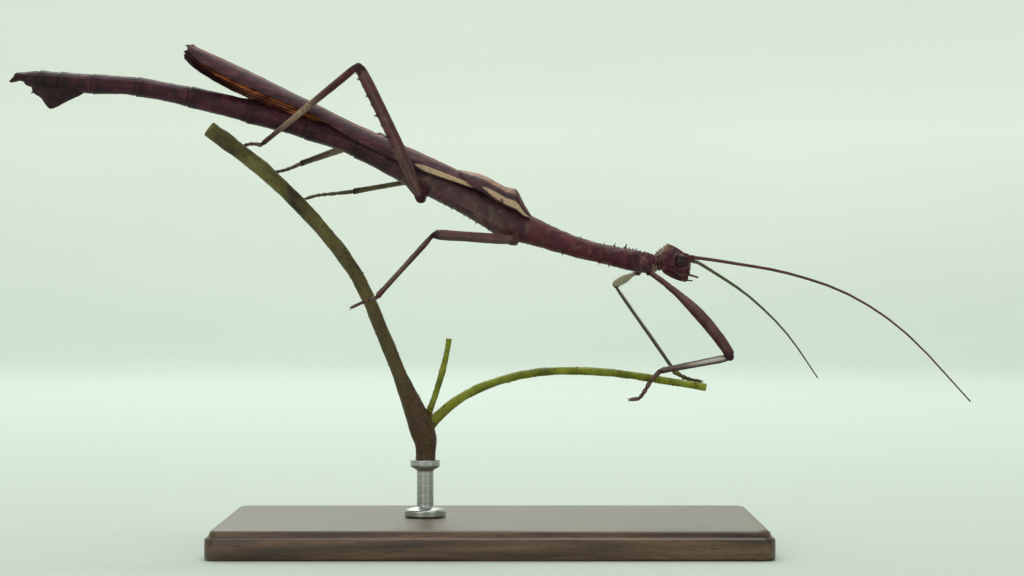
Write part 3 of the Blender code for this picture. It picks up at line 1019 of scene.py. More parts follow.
@dataclass
class Trunk:
    """Abdomen and thorax as one skin, with rims, folds and ridges."""

    step: float = 0.10
    columns: int = 56
    rim: float = 0.085
    tuck: float = 0.12
    fold: float = 0.07
    keel: float = 0.06
    throat: float = 1.0
    bury: float = 1.1
    slant: float = 0.9
    # Distance behind the collar, angle from the top, and size.
    nape_knobs: Rows = ((0.95, 0.42, 0.52), (0.35, 0.30, 0.34), (1.6, 0.25, 0.30))
    names: tuple[str, ...] = (
        *(f"abdomen_{number}" for number in range(10, 1, -1)),
        "metathorax",
        "mesothorax",
        "prothorax",
    )

    def __post_init__(self) -> None:
        """Measure the centreline and the joints between the parts."""
        nodes = [Measured(name) for name in self.names]
        rows = []
        for node in nodes:
            for share in (0.15, 0.38, 0.62, 0.85):
                x = node.low[0] + (node.high[0] - node.low[0]) * share
                low, high = node.section(x)
                rows.append((x, 0.0, (low[2] + high[2]) / 2))
        rows = np.array(sorted(rows))
        slopes = np.gradient(rows, axis=0)
        slopes /= np.linalg.norm(slopes, axis=1)[:, None]
        reach = []
        for place, slope in zip(rows, slopes):
            up = np.array((-slope[2], 0.0, slope[0]))
            found = np.vstack([node.cut(place, slope) for node in nodes])
            found = found[np.abs(found[:, 0] - place[0]) < 4.0]
            heights = (found - place) @ up
            depth = (heights.max() - heights.min()) / 2
            width = (found[:, 1].max() - found[:, 1].min()) / 2
            middle = place + up * (heights.max() + heights.min()) / 2
            reach.append((*middle, depth, width))
        rows = np.array(reach)
        tail, neck = rows[0].copy(), rows[-1].copy()
        tail[0] = nodes[0].low[0] + 0.1
        lead = unit(rows[-1, :3] - rows[-3, :3])
        neck[:3] += lead * (nodes[-1].high[0] - 0.30 - neck[0]) / lead[0]
        throat = neck.copy()
        throat[:3] += lead * self.throat
        throat[3:] *= 0.92
        self.rows = np.vstack((tail, rows, neck, throat))
        self.joints = [(one.high[0] + two.low[0]) / 2 for one, two in zip(nodes, nodes[1:])]
        self.parts = {node.name: (node.low[0], node.high[0]) for node in nodes}
        self.tail, self.collar = self.rows[0, 0], self.rows[-2, 0]
        self.front, self.ridge = self.parts["metathorax"]
        fine = refine(self.rows, self.rows[:, 0], self.step, 0.8)
        self.line = Line.through(fine[:, :3], Z_AXIS)
        self.depth, self.width = fine[:, 3:4], fine[:, 4:5]

    def build(self) -> Shape:
        """Return the skin."""
        x = self.line.points[:, :1]
        turns = ring_turns(self.columns)
        top, side = np.cos(turns), np.abs(turns)
        plain = self.line.shell(turns, self.depth, self.width)
        belly = 1 - rising(x, self.front, 1.6)
        thorax = 1 - belly
        flank = hump(x, self.ridge - 3.0, 3.2)
        beyond = rising(x, self.collar, 0.06)
        relief, dark = self._joint_marks(x)

        relief = relief - belly * self.fold * hump(side, 1.85, 0.09)
        relief += belly * self.fold * 0.5 * hump(side, 1.68, 0.08)
        relief += self.keel * (hump(side, 0.0, 0.16) - 0.4 * hump(side, 0.32, 0.14))
        relief += belly * 0.022 * np.cos(turns * 12 + 1.5 * lattice_noise(plain, 3.0, 5))
        relief += flank * (0.16 * hump(side, 1.15, 0.16) - 0.10 * hump(side, 1.45, 0.14))
        relief += flank * 0.12 * hump(side, 2.05, 0.07)
        relief += thorax * 0.05 * rough_noise(plain, 0.9, 3, 11)
        relief += thorax * 0.06 * specks(plain, 0.35, 21, least=0.25)
        relief += belly * 0.03 * rough_noise(plain, 1.3, 3, 31)
        relief += 0.012 * lattice_noise(plain * np.array((3.0, 1.0, 1.0)), 0.5, 41)
        relief += 0.20 * hump(x, self.collar - 0.75, 0.50) * hump(side, 0.30, 0.35)
        relief -= 0.14 * hump(x, self.collar - 1.75, 0.14) * (side < 2.2)
        relief += 0.05 * hump(x, self.collar - 0.10, 0.12) * (side < 2.4)

        near_tail = self.tail - x
        ends = rounded(self.line.lengths, 0.25, 0.25) * (1 + 0.10 * np.exp(near_tail / 1.2))
        ends = ends * (1 - 0.17 * beyond - 0.10 * beyond * np.clip(top, 0, 1))
        grid = self.line.shell(turns, (self.depth + relief) * ends, (self.width + relief) * ends)
        grid[..., 0] += self.slant * np.exp(near_tail / 0.9) * (1 - top) / 2

        pale = belly * 0.05 * hump(side, 1.68, 0.07) + flank * 0.30 * hump(side, 2.05, 0.05)
        pale += 0.55 * beyond * (top < 0.1) + thorax * 0.22 * specks(plain, 0.8, 51)
        dark = dark + flank * 0.35 * hump(side, 1.45, 0.35) + 0.25 * np.clip(-top, 0, 1) * belly
        dark += 0.40 * (1 - rising(x, self.parts["abdomen_9"][1] + 2.0, 3.0))
        warm = thorax * (0.15 + 0.75 * hump(x, self.ridge + 9.0, 8.0)) + belly * 0.10
        warm = warm + 0.6 * hump(x, self.collar - 0.75, 0.6) * hump(side, 0.3, 0.6)
        dust = 0.050 * hump(x, self.ridge - 6.0, 9.0) * hump(side, 1.6, 1.1)
        shape = Shape()
        shape.add_grid(grid, dark=dark, pale=pale, warm=warm, dust=dust)
        self._add_plate(shape)
        for back, turn, size in self.nape_knobs:
            for way in (1.0, -1.0):
                place, aim = self.surface(self.collar - back, turn * way)
                axes = np.eye(3) * size
                shape.add_ball(place - aim * size * 0.22, axes, 14, 18, warm=0.9, pale=0.10)
        return shape

    def _joint_marks(self, x: Array) -> tuple[Array, Array]:
        """Return the relief and the darkness of the rims and tucks at the joints."""
        relief, dark = np.zeros(x.shape), np.zeros(x.shape)
        for joint in self.joints:
            strength = 1.0 if joint < self.front - 1 else 0.35
            gap = x - joint
            behind = np.exp(-np.clip(gap, 0, None) / 0.25) * (gap >= 0)
            relief += strength * self.rim * (hump(gap, 0.1, 1.1) + 0.6 * behind)
            relief -= strength * self.tuck * hump(gap, -0.14, 0.13)
            band = 0.8 * hump(gap, -0.14, 0.14) + 0.5 * hump(gap, 0.9, 0.7) * (gap > 0)
            dark += strength * band
        return relief, dark

    def _add_plate(self, shape: Shape) -> None:
        """Add the keel-shaped plate under the tail."""
        node = Measured("poculum")
        rows = node.slices(16, 0.02, 0.02)
        fine = spline(rows, np.linspace(0, len(rows) - 1, 90))
        x, bottom, top, _, reach = (fine[:, k : k + 1] for k in range(5))
        turns = ring_turns(40)
        lift, wide = np.cos(turns), np.sin(turns)
        run, left = x - x[0], x[-1] - x
        rise = 0.75 * np.exp(-run / 0.22) + 0.75 * np.exp(-left / 1.2)
        half = (top - bottom + self.bury - rise) / 2
        middle = (top + bottom + self.bury + rise) / 2
        wedge = np.abs(wide) ** 0.6 * ((1.12 + lift) / 2.12) ** 0.75
        ends = np.clip(run / 0.8, 0.35, 1) * np.clip(left / 1.5, 0.3, 1)
        y = 1.62 * reach * ends * np.sign(wide) * wedge
        z = middle + half * lift
        grid = np.stack((np.broadcast_to(x, z.shape), y, z), axis=-1)
        grid[..., 1] += 0.05 * rough_noise(grid, 0.6, 2, 61) * np.sign(wide)
        grid[..., 2] += 0.05 * rough_noise(grid, 0.7, 2, 62) * (lift < 0)
        shape.add_grid(grid, dark=0.50)
        heel = (node.low[0] + 0.30, 0.0, bottom[0, 0] + 0.45)
        spur = ((-0.42, 0.0, -0.42), (0.10, 0.0, -0.10), (0.0, 0.16, 0.0))
        shape.add_ball(heel, spur, 12, 14, dark=0.4)

    def surface(self, x: float, turn: float) -> tuple[Array, Array]:
        """Return a place on the skin, and the outward direction there.

        Args:
            x: Where along the body.
            turn: Angle from the top, positive towards the right side.
        """
        index = int(np.argmin(np.abs(self.line.points[:, 0] - x)))
        up, side = self.line.ups[index], self.line.sides[index]
        depth, width = self.depth[index, 0], self.width[index, 0]
        high, wide = math.cos(turn), math.sin(turn)
        place = self.line.points[index] + up * depth * high + side * width * wide
        return place, unit(up * high / depth + side * wide / width)


@dataclass
class TrunkSpines:
    """Spines, knobs and short hairs of the trunk."""

    trunk: Trunk
    belly_spines: int = 46
    back_spines: int = 30
    grains: int = 1100
    hairs: int = 700
    # Place along the body, angle from the top, size.
    spines: Rows = (
        (8.3, 0.30, 0.75), (10.9, -0.35, 0.75), (13.4, 0.12, 1.15), (17.2, 0.25, 1.0),
        (18.7, -0.10, 1.45), (19.4, 0.45, 0.9), (20.4, 0.08, 1.85), (21.0, -0.30, 1.2),
        (21.6, 0.25, 1.2), (22.1, -0.05, 1.1), (22.7, 0.30, 1.0), (23.3, 0.10, 1.0), (24.6, 0.35, 0.9),
        (11.6, 3.0, 1.0), (17.0, 2.9, 1.0), (18.6, -2.9, 1.2), (20.2, 2.8, 0.9), (7.0, 2.7, 0.9),
        (12.5, 1.5, 0.6), (14.8, 1.2, 0.7), (13.7, 1.9, 0.6), (19.6, 1.6, 0.6), (-6.2, 2.95, 0.75),
        (-5.1, 2.90, 1.0), (-4.2, 3.00, 0.8), (-3.1, 2.85, 1.1), (-2.2, 2.95, 0.8), (-1.2, 2.90, 1.1),
        (-0.3, 3.00, 0.9), (0.7, 2.80, 1.2), (1.5, 2.95, 0.9),
    )

    def build(self) -> tuple[StudBed, StudBed, StudBed]:
        """Return the beds of spines, knobs and hairs."""
        rng = np.random.default_rng(17)
        trunk = self.trunk
        flank, rear = trunk.front, trunk.parts["mesothorax"][0]
        front, tail = trunk.parts["prothorax"][1], trunk.parts["abdomen_10"][0]
        spines = StudBed("body_spines", Stud.SPINE, 3)
        for x, turn, size in self.spines:
            for way in (1.0, -1.0):
                place, aim = trunk.surface(x, turn * way)
                spines.add(place - aim * 0.05, aim + X_AXIS * 0.2, size * rng.uniform(0.85, 1.1))
        for _ in range(self.belly_spines):
            x = rng.uniform(flank - 1.0, rear + 6.0)
            place, aim = trunk.surface(x, math.pi - rng.normal() * 0.55)
            spines.add(place - aim * 0.05, aim + X_AXIS * 0.1, rng.uniform(0.22, 0.5))
        for _ in range(self.back_spines):
            place, aim = trunk.surface(rng.uniform(rear + 5.0, front - 1.5), rng.normal() * 0.9)
            spines.add(place - aim * 0.05, aim + X_AXIS * 0.1, rng.uniform(0.22, 0.5))
        grains = StudBed("body_grains", Stud.GRAIN, 4)
        for _ in range(self.grains):
            x = rng.uniform(flank, front - 0.2)
            place, aim = trunk.surface(x, rng.uniform(-math.pi, math.pi))
            grains.add(place - aim * 0.015, aim, rng.uniform(0.5, 1.2))
        hairs = StudBed("body_hairs", Stud.HAIR, 5)
        for _ in range(self.hairs):
            x = tail + 2.2 + (front - tail - 2.6) * rng.random()
            place, aim = trunk.surface(x, rng.uniform(-math.pi, math.pi))
            hairs.add(place - aim * 0.02, aim - X_AXIS * 0.5, rng.uniform(0.5, 1.0))
        return spines, grains, hairs


# ---- the head


@dataclass
class Head:
    """Head with its crest, cheeks, mouth plates and feeler sockets."""

    rings: int = 180
    columns: int = 110
    pinch: float = 0.45
    nape: float = 0.30
    # Distance from the back of the head, place across, and size.
    knobs: Rows = (
        (0.55, 0.25, 0.17), (0.90, -0.22, 0.20), (1.20, 0.30, 0.19), (1.50, -0.30, 0.22),
        (1.85, 0.28, 0.20), (1.05, 0.62, 0.16), (1.45, -0.66, 0.16),
    )
    tips: Rows = (
        (0.40, 0.12, 0.09), (0.78, -0.10, 0.10), (1.22, 0.10, 0.10), (1.62, -0.08, 0.11),
        (1.98, 0.06, 0.11), (2.25, -0.10, 0.09), (1.12, -0.42, 0.09), (1.66, 0.46, 0.09),
    )
    # Distance before the eye's middle, place across, and height above it.
    simple_eyes: Rows = ((0.70, 0.0, 0.98), (0.27, 0.42, 1.32), (0.27, -0.42, 1.32))

    def __post_init__(self) -> None:
        """Measure the head along its length, leaving out the room cut for the eyes."""
        node, eye = Measured("head"), Measured("eye_right")
        rows = node.slices(34, 0.03, 0.02)[:, [0, 1, 2, 4]]
        x = rows[:, 0]
        known = (x <= eye.low[0] - 0.2) | (x >= eye.high[0] + 0.2)
        reach = np.interp(x, x[known], rows[known, 3])
        near = hump(x, eye.middle[0], 1.3)
        rows[:, 3] = reach * (1 - near) + np.maximum(reach, reach.max() * 0.97) * near
        nape = rows[0] + np.array((-self.nape, 0.18, -0.18, 0.0))
        nape[3] *= 0.86
        self.rows = np.vstack((nape, rows))
        self.low, self.high, self.eye = node.low, node.high, eye.middle

    def build(self) -> Shape:
        """Return the head's skin with its mouth plates."""
        fine = spline(self.rows, np.linspace(0, len(self.rows) - 1, self.rings))
        x, bottom, top, reach = (fine[:, k : k + 1] for k in range(4))
        turns = ring_turns(self.columns)
        lift, wide = np.cos(turns), np.sin(turns)
        pinch = 1 - self.pinch * np.clip(lift, 0, 1) ** 2
        ends = rounded(fine[:, 0] - fine[0, 0], 0.12, 0.4)
        y = reach * wide * pinch * ends
        z = (top + bottom) / 2 + (top - bottom) / 2 * lift * ends
        grid = np.stack((np.broadcast_to(x, y.shape), y, z), axis=-1)
        shape = Shape()
        relief, looks = self._landmarks(grid)
        shape.add_grid(grid + self._outward(grid) * (relief * ends)[..., None], **looks)
        self._add_mouth(shape)
        self._add_knobs(shape)
        return shape

    @staticmethod
    def _outward(grid: Array) -> Array:
        """Return the outward direction at every point of the grid."""
        normal = np.cross(np.gradient(grid, axis=0), np.gradient(grid, axis=1))
        normal /= np.maximum(np.linalg.norm(normal, axis=-1), 1e-9)[..., None]
        centre = grid.mean(axis=1, keepdims=True)
        facing = np.sign(((grid - centre) * normal).sum(axis=-1))[..., None]
        return normal * np.where(facing == 0, 1, facing)

    def _landmarks(self, grid: Array) -> tuple[Array, Looks]:
        """Return the relief and the colour values round the head's landmarks."""
        x, y, z = grid[..., 0], np.abs(grid[..., 1]), grid[..., 2]
        mirrored = np.stack((x, y, z), axis=-1)
        back, front, floor, roof = self.low[0], self.high[0], self.low[2], self.high[2]
        eye_x, eye_y, eye_z = self.eye[0], abs(self.eye[1]), self.eye[2]

        round_eye = (mirrored - np.array((eye_x, eye_y, eye_z))) / np.array((1.18, 1.0, 1.22))
        ring = np.linalg.norm(round_eye, axis=-1)
        neck_folds = hump(x, back + 1.0, 0.10) + hump(x, back + 0.45, 0.08)
        cheek_line = (x - (back + 4.75)) + 0.55 * (z - (floor + 1.6))
        under_eye = hump(z, eye_z - 1.25, 0.14) * (x < front - 0.6)
        feeler = mirrored - np.array((front - 0.75, 0.80, eye_z + 0.62))

        relief = 0.16 * hump(ring, 1.0, 0.12) - 0.30 * (ring < 0.86)
        relief += 0.28 * dome(mirrored, (back + 2.15, 0.45, roof - 0.15), 0.42)
        relief += 0.20 * dome(mirrored, (back + 3.35, 0.30, roof - 0.75), 0.30)
        relief += 0.16 * dome(mirrored, (back + 3.95, 0.35, roof - 0.95), 0.26)
        relief += 0.14 * dome(mirrored, (back + 2.9, 1.6, floor + 1.35), 0.75)
        relief -= 0.16 * hump(y, 0.0, 0.13) * (z > eye_z)
        relief -= 0.11 * neck_folds
        relief -= 0.13 * hump(cheek_line, 0.0, 0.07) * (z < eye_z)
        relief -= 0.10 * hump(cheek_line, -0.75, 0.06) * (z < eye_z - 0.4)
        relief += 0.07 * under_eye
        relief += 0.22 * hump(np.linalg.norm(feeler, axis=-1), 0.5, 0.12)
        relief += 0.05 * rough_noise(grid, 0.55, 3, 71)
        relief += 0.06 * specks(grid, 0.22, 73, least=0.2)

        pale = 0.75 * np.clip((z - (roof - 0.9)) / 0.9, 0, 1) * hump(x, back + 1.6, 0.9)
        pale += 0.8 * hump(x, back + 1.2, 0.75) * (y < 0.9) * (z > eye_z + 0.3)
        pale += 0.25 * specks(grid, 0.6, 75)
        pale += 0.6 * hump(x, back, 0.35) * (z < eye_z - 0.6)
        return relief, {
            "dark": 0.5 * neck_folds + 0.5 * hump(cheek_line, 0.0, 0.09) * (z < eye_z),
            "pale": pale,
            "warm": 0.3 + 0.6 * hump(ring, 1.05, 0.2) + 0.8 * under_eye,
        }

    def _add_mouth(self, shape: Shape) -> None:
        """Add the lip plate, jaws and lower lip where the CAD mouthparts are."""
        node = Measured("mouthparts")
        x, z = node.middle[0], node.middle[2]
        front, floor = node.high[0], node.low[2]
        for way in (1.0, -1.0):
            jaw = ((0.30, -way * 0.10, -0.44), (0.32, 0.0, 0.24), (0.0, 0.27, 0.0))
            place = (front - 0.86, way * 0.36, z + 0.16)
            shape.add_ball(place, jaw, 20, 24, dark=0.45, warm=0.5)
            lobe = ((0.62, way * 0.05, -0.05), (0.0, 0.02, 0.30), (0.0, 0.24, 0.0))
            place = (x + 0.10, way * 0.40, floor + 0.66)
            shape.add_ball(place, lobe, 18, 22, dark=0.2, warm=0.5)
        lip = ((-0.26, 0.0, -0.52), (0.26, 0.0, -0.08), (0.0, 0.56, 0.0))
        shape.add_ball((front - 0.72, 0.0, z + 0.34), lip, 22, 30, warm=0.6, pale=0.1)
        plate = ((-0.10, 0.0, -0.50), (0.24, 0.0, -0.03), (0.0, 0.72, 0.0))
        shape.add_ball((front - 0.38, 0.0, z + 0.90), plate, 22, 30, warm=0.5)
        chin = ((1.95, 0.0, -0.85), (0.19, 0.0, 0.44), (0.0, 0.56, 0.0))
        shape.add_ball((x - 1.25, 0.0, floor + 1.05), chin, 26, 30, warm=0.3, dark=0.15)

    def _crown(self, forward: float, across: float, lift: float) -> Place:
        """Return a place on the crest, raised by lift."""
        x = self.low[0] + forward
        height = np.interp(x, self.rows[:, 0], self.rows[:, 2]) - 0.35 * abs(across)
        return x, across, height + lift

    def _add_knobs(self, shape: Shape) -> None:
        """Add the simple eyes on the brow, and the crest's knobs and pointed tips."""
        for forward, across, lift in self.simple_eyes:
            place = (self.eye[0] + forward, across, self.eye[2] + lift)
            shape.add_ball(place, np.eye(3) * 0.17, 10, 16, pale=0.9)
        knob = np.diag((0.78, 0.78, 1.45))
        for forward, across, size in self.knobs:
            shape.add_ball(self._crown(forward, across, -0.05), knob * size, 12, 16, pale=0.85)
        tip = np.array(((0.8, 0.0, 0.0), (0.0, 0.8, 0.0), (-1.6, 0.0, 3.0)))
        for forward, across, size in self.tips:
            place = self._crown(forward, across, 0.02)
            shape.add_ball(place, tip * size, 12, 12, pale=0.55, warm=0.6)


@dataclass
class Eyes:
    """The two compound eyes."""

    facets: int = 96

    def build(self, side: Side) -> Shape:
        """Return one eye."""
        node = Measured(f"eye_{side}")
        shape = Shape()
        half = (node.high - node.low) / 2
        axes = np.array((Y_AXIS * half[1], Z_AXIS * half[2], X_AXIS * half[0]))
        shape.add_ball(node.middle, axes, self.facets // 2, self.facets)
        return shape


def chain(
    rows: Array,
    joints: Sequence[float],
    hint: Array,
    swell: float,
    step: float,
    columns: int,
    waist: float = 0.30,
) -> tuple[Array, Array]:
    """Sweep a jointed rod whose parts swell between their joints.

    Args:
        rows: Stations of x, y, z and radius.
        joints: Shares of the length where the joints are.
        hint: The up direction.
        swell: How much thicker the middle of a part is than its ends, as a share.
        step: Distance between rings.
        columns: Points per ring.
        waist: How much thinner a joint is than the parts beside it, as a share.

    Returns:
        The grid, and how close each ring is to a joint.
    """
    fine = refine(rows, distances(rows[:, :3]), step, 0.2)
    line = Line.through(fine[:, :3], hint)
    marks = np.concatenate(((0.0,), np.asarray(joints, dtype=float), (1.0,)))
    index = np.searchsorted(marks, line.shares, side="right") - 1
    index = np.clip(index, 0, len(marks) - 2)
    part = marks[index + 1] - marks[index]
    inside = (line.shares - marks[index]) / part
    away = np.minimum(inside, 1 - inside) * part * line.lengths[-1]
    closeness = np.exp(-away / 0.10)
    shaped = (1 - swell) + swell * np.sin(math.pi * np.clip(inside * 0.75 + 0.2, 0, 1))
    radius = (fine[:, 3] * shaped * (1 - waist * closeness))[:, None]
    radius = radius * rounded(line.lengths, 0.12, 0.12)
    return line.shell(ring_turns(columns), radius, radius), closeness[:, None]


@dataclass
class Antenna:
    """One feeler: a thick first joint, a short second one and a ringed whip."""

    side: Side
    root: float = 0.30
    tip: float = 0.115
    rings: int = 58
    # Distance from the root, half length and radius of the first two joints.
    joints: Rows = ((0.45, 0.72, 0.40), (1.45, 0.40, 0.31))

    def build(self) -> Shape:
        """Return the feeler."""
        head = Measured("head")
        near = np.array((head.high[0], 0.0, head.middle[2]))
        rows = Measured(f"antenna_{self.side}").stations(near, 40, 0.012)
        start = rows[0, :3] + (rows[0, :3] - rows[1, :3]) * 0.12
        along = distances(rows[:, :3])
        rows[:, 3] = self.root + (self.tip - self.root) * (along / along[-1]) ** 0.8
        joints = np.linspace(0, 1, self.rings + 1)[1:-1] ** 1.12
        grid, close = chain(rows, joints, Z_AXIS, 0.05, 0.07, 14, 0.13)
        green = 0.9 if self.side is Side.LEFT else 0.0
        shape = Shape()
        shape.add_grid(grid, dark=0.45 * close, pale=0.16 * (1 - close), warm=0.6, vein=green)
        lead = unit(rows[2, :3] - start)
        across = unit(np.cross(lead, Z_AXIS))
        for reach, length, radius in self.joints:
            axes = (lead * length, np.cross(across, lead) * radius, across * radius * 0.9)
            place = start + lead * reach
            shape.add_ball(place, axes, 20, 20, dark=0.2, warm=0.3, vein=0.5 * green)
        return shape


@dataclass
class Palps:
    """Palps beside the mouth: the longer outer pair and the shorter inner pair."""

    def build(self) -> Shape:
        """Return all four palps."""
        shape = Shape()
        mouth = Measured("mouthparts")
        for side in Side:
            rows = Measured(f"palp_{side}").stations(mouth.middle, 9, 0.03)
            start = rows[0, :3] - unit(rows[1, :3] - rows[0, :3]) * 0.35
            outer = np.vstack(((*start, rows[0, 3]), rows))
            outer[:, 3] = np.linspace(0.20, 0.13, len(outer))
            root = (mouth.low[0] + 1.1, side.way * 0.45, mouth.low[2] + 0.40, 0.15)
            tip = (mouth.high[0] + 0.30, side.way * 0.66, mouth.low[2] + 0.27, 0.10)
            inner = np.linspace(root, tip, 6)
            for palp, joints in ((outer, (0.18, 0.36, 0.68)), (inner, (0.3, 0.6))):
                grid, close = chain(palp, joints, Z_AXIS, 0.12, 0.03, 14, 0.16)
                shape.add_grid(grid, pale=0.25 * (1 - close), dark=0.6 * close)
        return shape


@dataclass
class Cerci:
    """The two short tail feelers."""

    def build(self) -> Shape:
        """Return both."""
        shape = Shape()
        tail = Measured("abdomen_10")
        for side in Side:
            rows = Measured(f"cercus_{side}").stations(tail.middle, 8, 0.03)
            start = (tail.low[0] + 1.1, rows[0, 1] * 0.7, tail.middle[2] + 0.22)
            rows = np.vstack(((*start, rows[0, 3]), rows))
            rows[:, 3] = np.linspace(0.66, 0.08, len(rows))
            rows[:, 2] += 0.12 * np.linspace(1, 0, len(rows))
            grid, _ = chain(rows, (), Z_AXIS, 0.0, 0.05, 20, 0.0)
            shape.add_grid(grid, dark=0.5)
        return shape


# ---- wings


@dataclass
class RoofWing:
    """A leathery wing plate that slopes from the back's middle line down one side."""

    node: str
    side: Side
    step: float = 0.11
    columns: int = 64
    thickness: float = 0.16
    veins: int = 9
    vein_height: float = 0.04
    cross_gap: float = 0.9
    sink: float = 0.0
    rag: float = 0.0

    def __post_init__(self) -> None:
        """Measure the plate's eave, ridge and reach along its length."""
        cuts = Measured(f"{self.node}_{self.side}").slices(26, 0.05, 0.05)
        wide = np.abs(cuts[:, 3:])
        self.rows = np.column_stack((cuts[:, :3], wide.max(axis=1), wide.min(axis=1)))
        self.way = self.side.way

    def relief(self, x: Array, across: Array, plain: Array) -> Array:
        """Return how far the veins stand out, from 0 to 1."""
        wander = 0.25 * lattice_noise(plain * np.array((0.35, 1, 1)), 1.2, 81)
        along = np.clip(np.cos((across * self.veins + wander) * math.tau), 0, 1) ** 6
        slant = x / self.cross_gap + across * 1.6 + 0.35 * lattice_noise(plain, 1.5, 83)
        cross = np.clip(np.cos(slant * math.tau), 0, 1) ** 14
        return np.maximum(along, 0.55 * cross)

    def colours(self, share: Array, across: Array) -> Looks:
        """Return the plate's colour values, from its share of the length and the place across."""
        return {}

    @staticmethod
    def taper(share: Array, place: float, reach: float, power: float) -> Array:
        """Return how wide a stripe is that starts at place and widens over reach."""
        return np.clip((share - place) / reach, 0.001, 1) ** power

    def build(self) -> Shape:
        """Return the plate as a thin closed shell."""
        fine = refine(self.rows, self.rows[:, 0], self.step)
        x, eave, ridge, reach, start = (fine[:, k : k + 1] for k in range(5))
        behind = x - x.min()
        sunk = self.sink * np.exp(-((behind / 2.2) ** 2))
        ridge, eave = ridge - sunk, eave - sunk
        depth = ridge - eave
        across = np.linspace(0, 1, self.columns)[None, :]
        turn = (1 - across) * math.pi / 2
        y = start + (reach - start) * np.cos(turn)
        z = eave + depth * np.sin(turn)
        line = across[..., None] * np.array((9.0, 0.0, 0.0))
        torn = lattice_noise(line, 1.0, 85) + 0.6 * lattice_noise(line, 0.4, 86)
        full = x + self.rag * torn * np.clip(1 - behind / 2.0, 0, 1) ** 2
        plain = np.stack((full, y * self.way, z), axis=-1)
        slope = np.stack(
            (np.zeros(y.shape), self.way * np.cos(turn) * depth, np.sin(turn) * reach), axis=-1
        )
        slope /= np.linalg.norm(slope, axis=-1)[..., None]
        veins = self.relief(full, across, plain)
        skin = plain + slope * (self.vein_height * (veins - 0.9))[..., None]
        skin += slope * (0.03 * rough_noise(plain, 1.1, 2, 91))[..., None]
        under = skin - slope * self.thickness
        under[:, -1] = skin[:, -1] * 0.5 + under[:, -1] * 0.5
        share = (full - full.min()) / (full.max() - full.min())
        shape = Shape()
        shape.add_plate(skin, under, vein=veins, **self.colours(share, across))
        return shape


@dataclass
class Tegmen(RoofWing):
    """The short forewing with its shoulder hump and its cream edge."""

    def colours(self, share: Array, across: Array) -> Looks:
        """Return the cream edge, the lighter speckled top and the dark shoulder."""
        line = 0.84 - 0.03 * np.sin(share * 4.0)
        taper = self.taper(share, 0.33, 0.16, 0.6) * self.taper(1 - share, 0.0, 0.18, 0.6)
        stripe = np.clip((1 - np.abs(across - line) / (0.125 * taper)) * 4.0, 0, 1)
        run = (share > 0.33) * (share < 0.995)
        notch = 1 - hump(share, 0.60, 0.022) * (across > line)
        top = np.clip((0.50 - across) / 0.06, 0, 1) * np.clip((0.82 - share) / 0.12, 0, 1)
        shoulder = hump(share, 0.88, 0.07) * (across < 0.6)
        return {
            "pale": stripe * run * notch,
            "dust": top,
            "warm": 0.5 * shoulder + 0.2 * top,
            "dark": 0.55 * hump(across, 0.63, 0.08) + 0.6 * hump(across, 1.0, 0.03),
        }


@dataclass
class Hindwing(RoofWing):
    """The long leathery front band of the hindwing."""

    def colours(self, share: Array, across: Array) -> Looks:
        """Return the reddish and pale lines along the band and its cream base."""
        base = (share > 0.77) * (share < 0.97)
        taper = self.taper(share, 0.77, 0.035, 0.6) * self.taper(-share, -0.97, 0.02, 0.5)
        stripe = np.clip((1 - np.abs(across - 0.85) / (0.120 * taper)) * 4.0, 0, 1)
        top = np.clip((0.29 - across) / 0.05, 0, 1)
        front = np.clip((share - 0.90) / 0.04, 0, 1)
        return {
            "pale": base * stripe + 0.40 * hump(across, 0.30, 0.022),
            "dust": top * front,
            "warm": top * (1 - front) * 0.9 + 0.12 * (1 - share),
            "dark": 0.6 * hump(across, 1.0, 0.05) + 0.30 * hump(across, 0.55, 0.10),
        }


